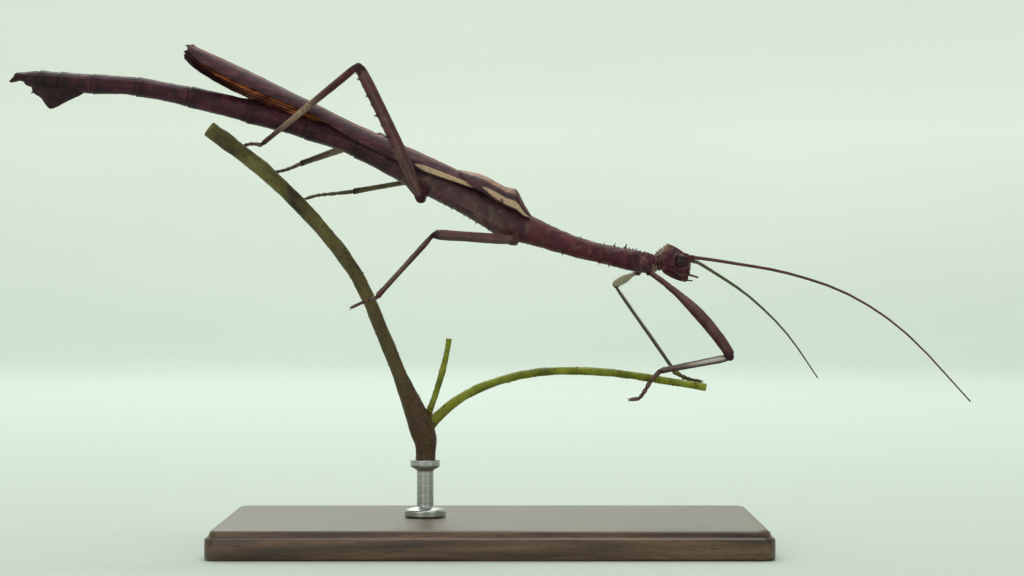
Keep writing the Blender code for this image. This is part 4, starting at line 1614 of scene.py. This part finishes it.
@dataclass
class Fan:
    """The folded hind part of the hindwing: pleats of thin skin with a ragged end."""

    side: Side
    pleats: int = 4
    columns: int = 60
    step: float = 0.12
    thickness: float = 0.05
    # Place across, reach and strength of the bright lines: along the whole fan, and in front.
    long_lines: Rows = ((0.07, 0.028, 1.3), (0.20, 0.030, 1.3), (0.33, 0.03, 1.04))
    front_lines: Rows = ((0.47, 0.03, 1.0), (0.62, 0.03, 1.0), (0.76, 0.03, 0.8))

    def build(self) -> Shape:
        """Return the pleated skin as a thin closed shell."""
        way = self.side.way
        cuts = Measured(f"wing_fan_{self.side}").slices(24, 0.04, 0.04)
        rows = np.column_stack((cuts[:, :3], np.abs(cuts[:, 3:]).max(axis=1)))
        fine = refine(rows, rows[:, 0], self.step)
        x, bottom, top, reach = (fine[:, k : k + 1] for k in range(4))
        share = (x - x[0]) / (x[-1] - x[0])
        down = np.linspace(0, 1, self.columns)[None, :]
        phase = down * self.pleats * math.tau
        fold = 0.5 - 0.5 * np.cos(phase)
        room = np.clip((top - bottom) * 0.35, 0.05, 0.30)
        y = reach - 0.10 - room * 1.6 * fold - 0.25 * down
        z = top + 0.25 - (top + 0.25 - bottom) * down + room * 0.25 * np.sin(phase)
        rag = 0.9 * np.clip(1 - share * 9, 0, 1) * (0.5 + 0.5 * np.sin(phase * 1.5 + 1.0))
        skin = np.stack((x + rag, y * way, z), axis=-1)
        skin[..., 1] += 0.05 * rough_noise(skin, 0.8, 2, 95)
        skin[..., 2] += 0.05 * rough_noise(skin, 0.9, 2, 96)
        inner = skin - np.array((0.0, way * self.thickness, 0.0))

        front = rising(share, 0.50, 0.12)
        dark = 0.8 * hump(down, 1.0, 0.05) + 0.6 * (1 - rising(share, 0.16, 0.12))
        dark += 0.85 * rising(down, 0.46, 0.05) * (1 - front)
        lines = sum(strength * hump(down, *line) for *line, strength in self.long_lines)
        lines = lines + front * sum(strength * hump(down, *line) for *line, strength in self.front_lines)
        glow = 0.25 * hump(down, 0.30, 0.34) * np.clip((share - 0.08) / 0.2, 0, 1)
        glow = glow + lines * np.clip((share - 0.05) / 0.3, 0, 1)
        cloud = lattice_noise(skin * np.array((0.3, 1, 1)), 0.5, 97)
        glow = glow * np.clip(0.8 + 0.8 * cloud, 0, 1)
        shape = Shape()
        shape.add_plate(skin, inner, vein=np.clip(1 - 3.0 * fold, 0, 1) * 0.7, dark=dark, pale=glow)
        return shape


# ---- legs


class Pair(Enum):
    """The three pairs of legs."""

    FRONT = "front"
    MIDDLE = "middle"
    HIND = "hind"


@dataclass(frozen=True)
class LimbForm:
    """How a thigh or shin is shaped inside its CAD part.

    The profile holds factors on the measured radius, spread evenly from root to end.
    """

    flat: float
    fill: float
    profile: Numbers
    end: float = 0.25
    under: float = 1.0


@dataclass(frozen=True)
class LegStyle:
    """How one pair's legs are shaped and coloured; olive is for the left leg only."""

    thigh: LimbForm
    shin: LimbForm
    foot: float
    ridge: float
    # Strength of the painted highlight on the shin's sides, and of the darker edges that frame it.
    painted_side_highlight: float
    pale_band: float
    # Strength of the near-white painted gleam on the shin's sides.
    gleam: float
    olive: float
    teeth: Numbers
    tooth_size: float


LEG_STYLES = {
    Pair.FRONT: LegStyle(
        thigh=LimbForm(
            flat=0.60,
            fill=1.0,
            profile=(0.98, 0.98, 0.98, 1.0, 1.02, 1.02, 1.0, 1.0, 1.0, 1.0, 1.0, 1.03, 1.16, 1.26),
            end=0.18,
            under=0.74,
        ),
        shin=LimbForm(
            flat=0.70,
            fill=1.28,
            profile=(0.60, 0.95, 1.05, 1.05, 1.0, 1.0, 0.98, 0.96, 0.94, 0.92, 0.90, 0.90, 0.94),
        ),
        foot=0.42,
        ridge=0.10,
        painted_side_highlight=1.0,
        pale_band=0.0,
        gleam=0.9,
        olive=0.9,
        teeth=(0.52, 0.60, 0.68, 0.76, 0.84, 0.91),
        tooth_size=0.42,
    ),
    Pair.MIDDLE: LegStyle(
        thigh=LimbForm(
            flat=0.85,
            fill=1.13,
            profile=(0.80, 0.90, 0.96, 1.0, 1.0, 1.0, 1.0, 1.0, 1.0, 1.02, 1.06, 1.12, 1.17, 1.06),
            end=0.34,
        ),
        shin=LimbForm(
            flat=0.85,
            fill=1.14,
            profile=(0.75, 0.85, 0.98, 1.0, 1.0, 1.0, 1.0, 1.0, 1.0, 1.0, 1.0, 1.05, 1.15),
        ),
        foot=0.34,
        ridge=0.08,
        painted_side_highlight=0.35,
        pale_band=0.15,
        gleam=0.0,
        olive=0.8,
        teeth=(0.35, 0.46, 0.56, 0.66, 0.76, 0.86),
        tooth_size=0.55,
    ),
    Pair.HIND: LegStyle(
        thigh=LimbForm(
            flat=0.80,
            fill=0.94,
            profile=(0.72, 0.84, 0.92, 0.98, 1.0, 1.0, 1.0, 1.0, 1.02, 1.05, 1.10, 1.18, 1.26, 1.20),
            end=0.20,
        ),
        shin=LimbForm(
            flat=0.75,
            fill=1.42,
            profile=(0.92, 1.08, 1.13, 1.12, 1.10, 1.07, 1.06, 1.04, 1.02, 0.98, 0.92, 0.88, 0.92),
        ),
        foot=0.34,
        ridge=0.09,
        painted_side_highlight=0.35,
        pale_band=0.85,
        gleam=0.0,
        olive=0.35,
        teeth=(0.40, 0.48, 0.56, 0.64, 0.72, 0.79, 0.86, 0.92, 0.97),
        tooth_size=1.45,
    ),
}


@dataclass
class Leg:
    """One leg: root, thigh, shin, foot joints, pads and claws."""

    pair: Pair
    side: Side
    step: float = 0.09
    columns: int = 32
    # Shares of the foot's length where its joints and its pads are.
    foot_joints: Numbers = (0.36, 0.54, 0.67, 0.77)
    pads: Numbers = (0.33, 0.52, 0.65, 0.75, 0.97)
    # Shares of the way from root to thigh, and the radius factor or the darkness there.
    root_places: Numbers = (0.0, 0.35, 0.50, 0.62, 0.70, 0.74, 0.80, 0.90, 0.97, 1.02, 1.08)
    root_profile: Numbers = (0.80, 0.98, 1.0, 0.96, 0.88, 0.78, 0.80, 0.80, 0.74, 0.66, 0.50)
    dark_places: Numbers = (0.0, 0.68, 0.74, 0.78, 1.0, 1.08)
    root_dark: Numbers = (0.1, 0.1, 0.7, 0.2, 0.3, 0.6)

    def __post_init__(self) -> None:
        """Measure the leg's parts."""
        self.tag = f"{self.pair.value}_{self.side}"
        self.nodes = tuple(f"{part}_{self.tag}" for part in ("coxa", "femur", "tibia", "tarsus"))
        coxa, femur, tibia, tarsus = (Measured(name) for name in self.nodes)
        self.style = LEG_STYLES[self.pair]
        self.green = self.style.olive if self.side is Side.LEFT else 0.0
        self.right_front = (self.pair, self.side) == (Pair.FRONT, Side.RIGHT)
        self.left_front = (self.pair, self.side) == (Pair.FRONT, Side.LEFT)
        self.femur = femur.stations(coxa.middle, 14, 0.03)
        self.tibia = tibia.stations(self.femur[-1, :3], 12, 0.02)
        self.tarsus = tarsus.stations(self.tibia[-1, :3], 12, 0.03)
        self.coxa = coxa

    def _hint(self) -> Array:
        """Return the up direction: away from the shin, in the leg's own plane."""
        thigh = unit(self.femur[-1, :3] - self.femur[0, :3])
        side = unit(Y_AXIS - thigh * thigh[1])
        up = np.cross(side, thigh)
        shin = self.tibia[-1, :3] - self.femur[-1, :3]
        return -up if up @ shin > 0 else up

    def _limb(
        self,
        shape: Shape,
        rows: Array,
        form: LimbForm,
        slim: float,
        hint: Array,
        looks: Callable[..., Looks],
    ) -> Line:
        """Sweep the thigh or the shin.

        Args:
            shape: The shape that the limb joins.
            rows: Stations of x, y, z and radius.
            form: The limb's form.
            slim: Factor on the whole radius.
            hint: The up direction.
            looks: What gives the colour values from the share, the turn and the place.

        Returns:
            The limb's centreline.
        """
        fine = refine(rows, distances(rows[:, :3]), self.step, 0.35)
        line = Line.through(fine[:, :3], hint)
        share = line.shares[:, None]
        even = np.linspace(0, 1, len(form.profile))
        radius = fine[:, 3:4] * np.interp(share, even, form.profile)
        turns = ring_turns(self.columns)
        ridges = 1 + self.style.ridge * np.cos(4 * turns) ** 3
        plain = line.shell(turns, radius, radius)
        grain = 0.020 * rough_noise(plain, 0.6, 2, 101) + 0.025 * specks(plain, 0.22, 103)
        reach = radius * ridges * (form.fill * slim) + grain
        reach = reach * rounded(line.lengths, 0.3, form.end)
        depth = reach * np.where(np.cos(turns) < 0, form.under, 1.0)
        grid = line.shell(turns, depth, reach * form.flat)
        shape.add_grid(grid, **looks(share, turns, plain))
        return line

    def build(self) -> Shape:
        """Return the leg's skin from its root to its last foot joint."""
        shape = Shape()
        style = self.style
        slim = 0.66 if self.left_front else 1.0
        self._add_root(shape)
        self.thigh_line = self._limb(shape, self.femur, style.thigh, slim, self._hint(), self._thigh_looks)
        self._add_lobes(shape)
        rows = np.vstack(((*self.femur[-1, :3], self.tibia[0, 3]), self.tibia))
        # The right front shin's up is Z, so the painted highlight on its sides faces the camera.
        hint = Z_AXIS if self.right_front else self._hint()
        self.shin_line = self._limb(shape, rows, style.shin, (1 + slim) / 2, hint, self._shin_looks)
        self._add_foot(shape)
        return shape

    def _thigh_looks(self, share: Array, turns: Array, plain: Array) -> Looks:
        """Return the thigh's colours: dark joints, faint side ridges and cloudy bands."""
        front = self.pair is Pair.FRONT
        dark = 0.7 * hump(share, 1.0, 0.03) + 0.6 * hump(share, 0.0, 0.03)
        dark = dark + 0.2 * (np.abs(turns) > 2.2) + 0.16 * self.right_front
        faint = 0.20 * hump(np.abs(turns), math.pi / 2, 0.22) + 0.22 * specks(plain, 1.6, 107)
        lit = 0.72 * rising(share, 0.10, 0.12) * self.left_front
        return {
            "dark": dark,
            "warm": 0.55 + 0.3 * np.sin(share * 3),
            "pale": lit + (0.6 if front else 1.0) * faint,
            "vein": self.green * rising(share, 0.15 if front else 0.65, 0.20),
            "dust": 0.0 if front else 0.030,
        }

    def _shin_looks(self, share: Array, turns: Array, plain: Array) -> Looks:
        """Return the shin's colours: dark joints and edges, a painted highlight on the sides with a
        near-white painted gleam on the front pair, painted shade on the left legs, and one pale band.
        """
        style = self.style
        flanks = hump(np.abs(turns), math.pi / 2, 0.55)
        edges = hump(np.abs(turns), 0.0, 0.5) + hump(np.abs(turns), math.pi, 0.5)
        # Painted highlight on the shin's sides, fainter towards the foot on the front pair.
        pale = style.painted_side_highlight * flanks * (1 - hump(share, 0.0, 0.08))
        pale = pale * (1 - 0.6 * rising(share, 0.62, 0.12) * (self.pair is Pair.FRONT))
        pale = pale + style.pale_band * hump(share, 0.62, 0.17)
        dark = 0.6 * hump(share, 0.0, 0.04) + 0.7 * hump(share, 1.0, 0.03)
        # The painted gleam lies on the half of the shin next to the knee.
        clear = rising(share, 0.06, 0.04) * (1 - rising(share, 0.50, 0.10))
        # Painted shade: the left legs, on the far side, keep about a third of the pale colour, and the
        # left front shin gets a half-strength dark layer.
        return {
            "dark": dark + 0.4 * style.painted_side_highlight * edges + 0.50 * self.left_front,
            "pale": pale * (1.0 if self.side is Side.RIGHT else 0.35),
            "warm": 0.35,
            "dust": style.gleam * clear * flanks,
            "vein": self.green,
        }

    def _add_root(self, shape: Shape) -> None:
        """Add the coxa's dome, its rim, and the ring that carries the thigh."""
        inner, hip = self.coxa.middle, self.femur[0, :3]
        root = inner + (inner - hip) * 0.9
        root[1] *= 0.5
        way = hip - root
        size = self.coxa.high - self.coxa.low
        radius = min(0.5 * min(size[0], size[2]), 1.0)
        shares = np.linspace(0, 1.08, 40)
        profile = np.interp(shares, self.root_places, self.root_profile)
        blend = np.clip((shares - 0.55) / 0.45, 0, 1)
        profile = profile * (1 - blend) + blend * 1.12 * self.femur[1, 3] / radius
        line = Line.through(root + way * shares[:, None], Z_AXIS if abs(unit(way)[2]) < 0.9 else X_AXIS)
        turns = ring_turns(self.columns)
        reach = (radius * profile)[:, None]
        plain = line.shell(turns, reach, reach)
        reach = reach + 0.05 * rough_noise(plain, 0.6, 3, 111)
        dark = np.interp(shares, self.dark_places, self.root_dark)[:, None]
        pale = 0.3 * specks(plain, 0.7, 113)
        shape.add_grid(line.shell(turns, reach, reach * 0.92), dark=dark, pale=pale, warm=0.5)
        if self.pair is Pair.MIDDLE:
            lead = unit(self.femur[3, :3] - hip)
            across = unit(np.cross(lead, Z_AXIS))
            axes = (lead * 1.35, np.cross(across, lead) * 0.78, across * 0.74)
            place = hip + lead * 0.25 - Z_AXIS * 0.10
            shape.add_ball(place, axes, 22, 26, warm=0.4, pale=0.1, dark=0.15)

    def _add_lobes(self, shape: Shape) -> None:
        """Add the two rounded lobes that hold the knee from both sides."""
        form, line = self.style.thigh, self.thigh_line
        radius = self.femur[-2, 3] * form.profile[-2] * (0.70 if self.left_front else 0.95)
        lead = unit(line.points[-1] - line.points[-8])
        up, side = line.ups[-1], line.sides[-1]
        middle = line.points[-1] - lead * 0.30 - up * radius * 0.15
        axes = (lead * radius * 1.25, up * radius * 0.88, side * radius * 0.42)
        for way in (1.0, -1.0):
            place = middle + side * way * radius * 0.42 * form.flat
            shape.add_ball(place, axes, 16, 20, dark=0.45, warm=0.4)

    def _add_foot(self, shape: Shape) -> None:
        """Add the five foot joints, each with a pad, and the pad between the claws."""
        rows = np.vstack(((*self.tibia[-1, :3], 0.26), self.tarsus))
        rows[:, 3] = np.linspace(1.0, 0.74, len(rows)) * self.style.foot
        lit = 0.30 if self.side is Side.RIGHT else 0.12
        up = self._foot_up()
        grid, close = chain(rows, self.foot_joints, up, 0.22, 0.05, 20)
        shape.add_grid(grid, dark=0.75 * close, pale=lit * (1 - close), warm=0.3, vein=self.green)
        along = distances(rows[:, :3])
        for share in self.pads:
            at = np.interp(share, along / along[-1], np.arange(len(rows)))
            ahead, here, behind = spline(rows, np.array((at + 0.3, at, at - 0.3)))[:, :3]
            lead = unit(ahead - behind)
            away = unit(up - lead * (up @ lead))
            axes = (lead * 0.22, away * 0.12, np.cross(lead, away) * 0.17)
            shape.add_ball(here - away * 0.15, axes, 12, 16, pale=1.5 * lit, vein=self.green)
        self.foot = rows

    def _foot_up(self) -> Array:
        """Return the direction away from what the foot stands on."""
        lead = unit(self.tarsus[-1, :3] - self.tarsus[0, :3])
        shin = unit(self.tibia[0, :3] - self.tibia[-1, :3])
        up = shin - lead * (shin @ lead)
        return unit(up) if np.linalg.norm(up) > 0.1 else unit(np.cross(lead, Y_AXIS))

    def claws(self) -> Shape:
        """Return the two hooked claws at the end of the foot."""
        shape = Shape()
        end = self.foot[-1, :3]
        lead = unit(end - self.foot[-3, :3])
        up = self._foot_up()
        up = unit(up - lead * (up @ lead))
        side = np.cross(lead, up)
        shares = np.linspace(0, 1, 22)[:, None]
        bend = shares * 1.5
        reach = 0.085 * (1 - shares) ** 0.7 + 0.006
        for way in (1.0, -1.0):
            path = (
                end
                + side * way * (0.08 + 0.20 * np.sin(bend))
                + lead * (0.34 * np.sin(bend))
                - up * (0.30 * (1 - np.cos(bend)) - 0.05)
            )
            grid = Line.through(path, up).shell(ring_turns(12), reach, reach)
            shape.add_grid(grid, dark=0.3 + 0.6 * shares)
        return shape

    def studs(self, teeth: StudBed, hairs: StudBed, rng: np.random.Generator) -> None:
        """Add the thigh's teeth and the short hairs of thigh and shin."""
        self._add_teeth(teeth, rng)
        limbs = ((self.thigh_line, self.femur, 60), (self.shin_line, self.tibia, 80))
        for line, rows, amount in limbs:
            for _ in range(amount):
                index = rng.integers(2, len(line.points) - 2)
                turn = rng.uniform(-math.pi, math.pi)
                place, aim = line.points[index], line.outward(index, turn)
                even = np.linspace(0, 1, len(rows))
                radius = np.interp(line.shares[index], even, rows[:, 3])
                lead = unit(place - line.points[index - 1])
                flat = 0.85 - 0.2 * abs(math.sin(turn))
                hairs.add(place + aim * radius * flat, aim + lead * 0.7, rng.uniform(0.4, 0.9))

    def _add_teeth(self, teeth: StudBed, rng: np.random.Generator) -> None:
        """Add two rows of teeth under the thigh, long and short by turns."""
        line, form = self.thigh_line, self.style.thigh
        lead = unit(line.points[-1] - line.points[0])
        for count, share in enumerate(self.style.teeth):
            index = int(np.argmin(np.abs(line.lengths - share * line.lengths[-1])))
            radius = np.interp(share, np.linspace(0, 1, len(self.femur)), self.femur[:, 3])
            for way in (0.30, -0.30):
                aim = -line.ups[index] + line.sides[index] * way
                place = line.points[index] + unit(aim) * radius * 0.82 * form.fill * form.under
                size = self.style.tooth_size * (0.75 + 0.25 * (count % 2))
                teeth.add(place, aim + lead * 0.45, size * rng.uniform(0.85, 1.1))


# ---- the perch


@dataclass
class Branch:
    """One round branch with bark, swellings, scars and cut ends."""

    node: str
    near: str
    # Share of the length, turn and size of the swellings.
    bumps: Rows = ()
    step: float = 0.16
    columns: int = 48
    brown_end: float = 0.0
    sunk: float = 0.0
    stub: float = 0.80
    # Shares of the radius where the rings of a cut end lie, from the rim inward.
    cut_rings: Numbers = (0.93, 0.6, 0.3, 0.1)

    def _measure(self) -> Array:
        """Return smooth rows of x, y, z and radius from the near end, with straight stubs."""
        node, near = Measured(self.node), Measured(self.near)
        start = near.middle
        if self.near == self.node:
            start = np.array((node.low[0] - 50.0, 0.0, node.high[2] + 50.0))
        rows = node.stations(start, 46, 0.004)
        for end, one, two in ((0, 1, 2), (-1, -2, -3)):
            rows[end, :3] = rows[one, :3] + (rows[one, :3] - rows[two, :3]) * self.stub
            rows[end, 3] = rows[one, 3]
        rows[0, :3] -= unit(rows[1, :3] - rows[0, :3]) * self.sunk
        fine = refine(rows, distances(rows[:, :3]), self.step)
        kernel = np.hanning(9)
        padded = np.pad(fine[:, 3], 4, mode="edge")
        fine[:, 3] = np.convolve(padded, kernel / kernel.sum(), mode="valid")
        return fine

    def build(self) -> Shape:
        """Return the bark skin with both cut faces."""
        fine = self._measure()
        line = Line.through(fine[:, :3], Y_AXIS)
        total, share = line.lengths[-1], line.shares[:, None]
        turns = ring_turns(self.columns)
        collar = np.exp(-line.lengths[:, None] / 1.1) * (self.sunk > 0)
        radius = fine[:, 3:4] * (1 + 0.40 * collar)
        plain = line.shell(turns, radius, radius)
        rolled_out = np.broadcast_arrays(turns * 1.4, share * total * 0.18, 0.0)
        streak = lattice_noise(np.stack(rolled_out, axis=-1), 0.35, 123)
        relief = 0.05 * rough_noise(plain, 1.6, 3, 121) + 0.035 * streak
        dark = 0.35 * np.clip(-streak, 0, 1)
        for place, turn, size in self.bumps:
            gap = (share - place) * total
            away = np.abs((turns - turn + math.pi) % math.tau - math.pi)
            swell = hump(gap, 0.0, 1.3) * (0.4 + 0.6 * hump(away, 0.0, 0.9))
            relief += size * (swell - 0.5 * hump(gap, 0.0, 0.45) * hump(away, 0.0, 0.45))
            dark += 0.8 * hump(np.hypot(gap / 0.5, away / 0.5), 1.0, 0.25)
        warm = self.brown_end * np.clip(share * 1.7 - 0.5, 0, 1) + 0.15 * streak + 1.5 * collar
        grid = line.shell(turns, radius + relief, radius + relief)
        faces = []
        for end in (grid[0], grid[-1]):
            middle = end.mean(axis=0)
            faces.append([middle + (end - middle) * part for part in self.cut_rings])
        grid = np.concatenate((faces[0][::-1], grid, faces[1]))
        more = ((len(self.cut_rings),) * 2, (0, 0))
        shape = Shape()
        shape.add_grid(
            grid,
            dark=np.pad(dark, more),
            pale=np.pad(np.zeros(dark.shape), more, constant_values=1.0),
            warm=np.pad(warm, more),
        )
        self.line, self.radius = line, radius
        return shape

    def pores(self, bed: StudBed, count: int, rng: np.random.Generator) -> None:
        """Scatter small corky pores over the bark."""
        for _ in range(count):
            index = rng.integers(4, len(self.line.points) - 4)
            aim = self.line.outward(index, rng.uniform(-math.pi, math.pi))
            place = self.line.points[index] + aim * self.radius[index, 0]
            bed.add(place, aim, rng.uniform(0.5, 1.4))


# ---- the stand


@dataclass
class Stand:
    """The base plate with its moulded edge, and the turned rod."""

    steps: int = 14
    corner: float = 2.2
    flats: Numbers = (17.0, 9.0, 2.4)

    def base(self) -> Shape:
        """Return the base plate: a rounded rectangle with a stepped edge."""
        node = Measured("stand_base")
        half, height = (node.high - node.low) / 2, node.high[2] - node.low[2]
        edge = (
            (0.60, 0.0), (0.15, 0.05), (0.0, 0.35), (0.0, height - 1.5), (0.10, height - 1.3),
            (0.55, height - 1.15), (0.62, height - 0.95), (0.72, height - 0.45), (1.05, height - 0.12),
            (1.55, height),
        )
        under = [(inset, 0.0) for inset in self.flats]
        over = [(inset, height) for inset in reversed(self.flats)]
        rings = []
        for inset, z in (*under, *edge, *over):
            corner = max(self.corner - inset * 0.5, 0.4)
            ring = []
            for quarter, (sx, sy) in enumerate(((1, 1), (-1, 1), (-1, -1), (1, -1))):
                turns = math.pi / 2 * (quarter + np.linspace(0, 1, self.steps))
                x = node.middle[0] + sx * (half[0] - inset - corner) + corner * np.cos(turns)
                y = node.middle[1] + sy * (half[1] - inset - corner) + corner * np.sin(turns)
                ring.append(np.column_stack((x, y, np.full(self.steps, node.low[2] + z))))
            rings.append(np.vstack(ring))
        shape = Shape()
        shape.add_grid(np.array(rings))
        return shape

    def rod(self) -> Shape:
        """Return the turned rod with its collar and cup."""
        node = Measured("stand_rod")
        heights = np.linspace(node.low[2] + 0.01, node.high[2] - 0.01, 60)
        cuts = [node.cut(np.array((0.0, 0.0, z)), Z_AXIS)[:, 0] for z in heights]
        radii = [(found.max() - found.min()) / 2 for found in cuts]
        heights = np.array((heights[0], *heights, heights[-1]))
        radii = np.array((radii[0] - 0.2, *radii, radii[-1] - 0.25))
        shape = Shape()
        shape.add_grid(turned(radii, heights, 64) + node.middle * (1.0, 1.0, 0.0))
        return shape


# ---- studio


@dataclass(frozen=True)
class Lamp:
    """One soft light: its place, what it is aimed at, and its size, power and colour."""

    name: str
    place: tuple[float, float, float]
    target: tuple[float, float, float]
    size: float
    power: float
    colour: Colour


@dataclass
class Studio:
    """Pale round sweep, soft lights and the camera."""

    flat: float = 1.0
    wall: float = 1.7
    height: float = 1.6
    world: Colour = (0.78, 0.90, 0.82)
    world_strength: float = 0.36
    lens: float = 100.0
    sensor: float = 36.0
    eye_height: float = 0.040
    eye_distance: float = 0.441
    eye_x: float = 0.003255
    lamps: tuple[Lamp, ...] = (
        Lamp("wall_wash", (0.0, 0.55, 1.25), (0.0, 1.65, 0.15), 0.7, 8.8, (0.98, 1.0, 0.93)),
        Lamp("back_soft", (-0.15, 0.75, 0.85), (0.0, 0.0, 0.05), 0.9, 5.0, (0.95, 1.0, 0.96)),
        Lamp("top_soft", (0.15, -0.05, 0.95), (0.0, 0.0, 0.05), 0.7, 3.0, (1.0, 0.99, 0.96)),
        Lamp("front_fill", (-0.45, -0.85, 0.45), (0.0, 0.0, 0.05), 0.8, 2.2, (1.0, 0.93, 0.88)),
        Lamp("low_fill", (0.55, -0.70, 0.12), (0.0, 0.0, 0.05), 0.5, 0.5, (1.0, 0.95, 0.92)),
    )

    def build(self) -> None:
        """Make the sweep, the lights, the world and the camera."""
        self._lay_floor()
        for lamp in self.lamps:
            self._hang(lamp)
        self._light_world()
        self._set_camera()

    def _lay_floor(self) -> None:
        """Make the round floor that curves up into a wall, open at the top."""
        bend = np.linspace(0, math.pi / 2, 16)[1:]
        run = self.wall - self.flat
        radii = (*np.linspace(0.02, self.flat, 14), *(self.flat + run * np.sin(bend)), self.wall)
        rises = (*np.zeros(14), *(run * (1 - np.cos(bend))), self.height)
        grid = turned(np.array(radii), np.array(rises), 160)
        rings, columns = grid.shape[:2]
        points = np.vstack((grid.reshape(-1, 3), np.zeros((1, 3))))
        index = np.arange(rings * columns).reshape(rings, columns)
        following = np.roll(index, -1, axis=1)
        quads = np.stack((index[:-1], index[1:], following[1:], following[:-1]), axis=-1)
        faces = quads.reshape(-1, 4).tolist()
        faces += [[rings * columns, int(index[0, k]), int(following[0, k])] for k in range(columns)]
        mesh = bpy.data.meshes.new("studio_floor")
        mesh.from_pydata(points.tolist(), [], faces)
        mesh.shade_smooth()
        mesh.materials.append(PaperFinish().build())
        linked("studio_floor", mesh)

    @staticmethod
    def _hang(lamp: Lamp) -> None:
        """Make one lamp and aim it."""
        data = bpy.data.lights.new(lamp.name, "AREA")
        data.shape = "DISK"
        data.size = lamp.size
        data.energy = lamp.power
        data.color = lamp.colour
        made = linked(lamp.name, data)
        made.location = lamp.place
        way = Vector(lamp.target) - Vector(lamp.place)
        made.rotation_euler = way.to_track_quat("-Z", "Y").to_euler()

    def _light_world(self) -> None:
        """Make the even light from all round."""
        world = bpy.data.worlds.new("studio_world")
        world.use_nodes = True
        back = world.node_tree.nodes["Background"]
        back.inputs["Color"].default_value = (*self.world, 1.0)
        back.inputs["Strength"].default_value = self.world_strength
        bpy.context.scene.world = world

    def _set_camera(self) -> None:
        """Make the camera, level and square to the insect's right side."""
        data = bpy.data.cameras.new("camera")
        data.lens = self.lens
        data.sensor_width = self.sensor
        data.dof.use_dof = False
        camera = linked("camera", data)
        camera.location = (self.eye_x, -self.eye_distance, self.eye_height)
        camera.rotation_euler = (math.pi / 2, 0.0, 0.0)
        bpy.context.scene.camera = camera
        bpy.context.scene.view_settings.view_transform = "Standard"


# ---- assembly


def build_insect(shop: Workshop) -> None:
    """Build the insect's pieces, the trunk and head first and the legs last."""
    shell = CuticleFinish().build()
    leather = WingFinish().build()
    skin = FanFinish().build()
    glass = EyeFinish().build()
    trunk = Trunk()
    shop.place(trunk.build().piece("body", shell), "cuticle", *trunk.names, "poculum")
    for bed in TrunkSpines(trunk).build():
        shop.place(bed.piece(shell), "cuticle")
    shop.place(Cerci().build().piece("cerci", shell), "cuticle", "cercus_left", "cercus_right")
    shop.place(Head().build().piece("head_shell", shell), "cuticle", "head", "mouthparts")
    shop.place(Palps().build().piece("palps", shell), "cuticle", "palp_left", "palp_right")
    for side in Side:
        lens = Eyes().build(side).piece(f"eye_{side}_lens", glass)
        feeler = Antenna(side).build().piece(f"feeler_{side}", shell)
        tegmen = Tegmen("tegmen", side, step=0.09, sink=0.48).build()
        forewing = tegmen.piece(f"forewing_{side}", leather)
        hindwing = Hindwing("hindwing", side, cross_gap=1.3, veins=10, rag=0.55).build()
        band = hindwing.piece(f"hindwing_{side}_band", leather)
        fan = Fan(side).build().piece(f"fan_{side}", skin)
        shop.place(lens, "eye", f"eye_{side}")
        shop.place(feeler, "cuticle", f"antenna_{side}")
        shop.place(forewing, "wing_brown", f"tegmen_{side}")
        shop.place(band, "wing_brown", f"hindwing_{side}")
        shop.place(fan, "wing_fan", f"wing_fan_{side}")
    rng = np.random.default_rng(29)
    teeth = StudBed("leg_teeth", Stud.TOOTH, 7)
    hairs = StudBed("leg_hairs", Stud.HAIR, 8)
    for pair in Pair:
        for side in Side:
            leg = Leg(pair, side)
            shop.place(leg.build().piece(f"leg_{leg.tag}", shell), "cuticle", *leg.nodes)
            shop.place(leg.claws().piece(f"claws_{leg.tag}", shell), "cuticle")
            leg.studs(teeth, hairs, rng)
    shop.place(teeth.piece(shell), "cuticle")
    shop.place(hairs.piece(shell), "cuticle")


def build_perch(shop: Workshop) -> None:
    """Build the stem, the twig and the cut shoot."""
    old_bark = BarkFinish(
        "bark_stem",
        deep=(0.030, 0.022, 0.009),
        middle=(0.118, 0.104, 0.028),
        light=(0.205, 0.198, 0.050),
    ).build()
    young_bark = BarkFinish(
        "bark_twig",
        deep=(0.085, 0.098, 0.008),
        middle=(0.235, 0.265, 0.018),
        light=(0.380, 0.420, 0.045),
    ).build()
    swellings = ((0.05, 1.0, 0.24), (0.16, 0.4, 0.18), (0.45, 2.2, 0.14), (0.70, -1.4, 0.12))
    stem = Branch("perch_stem", "perch_stem", swellings, brown_end=0.9)
    twig = Branch("perch_twig", "perch_spur", ((0.55, 0.3, 0.08),), step=0.14, columns=36, sunk=1.3)
    spur = Branch("perch_spur", "stand_rod", ((0.5, 1.0, 0.06),), step=0.12, columns=32, sunk=0.7)
    rng = np.random.default_rng(31)
    pores = StudBed("bark_pores", Stud.PORE, 9)
    for branch, bark, count in ((stem, old_bark, 420), (twig, young_bark, 160), (spur, young_bark, 60)):
        shop.place(branch.build().piece(f"{branch.node}_bark", bark), "bark", branch.node)
        branch.pores(pores, count, rng)
    shop.place(pores.piece(old_bark), "bark")


def build_stand(shop: Workshop) -> None:
    """Build the base plate and the rod."""
    stand = Stand()
    shop.place(stand.base().piece("base_plate", WoodFinish().build()), "base_wood", "stand_base")
    shop.place(stand.rod().piece("support_rod", SteelFinish().build()), "rod_steel", "stand_rod")


def main() -> None:
    """Build every piece in order."""
    logging.basicConfig(level=logging.INFO, format="%(message)s")
    shop = Workshop()
    build_stand(shop)
    build_perch(shop)
    build_insect(shop)
    Studio().build()
    LOG.info("all pieces: %d triangles", shop.triangles)


if __name__ == "__main__":
    main()
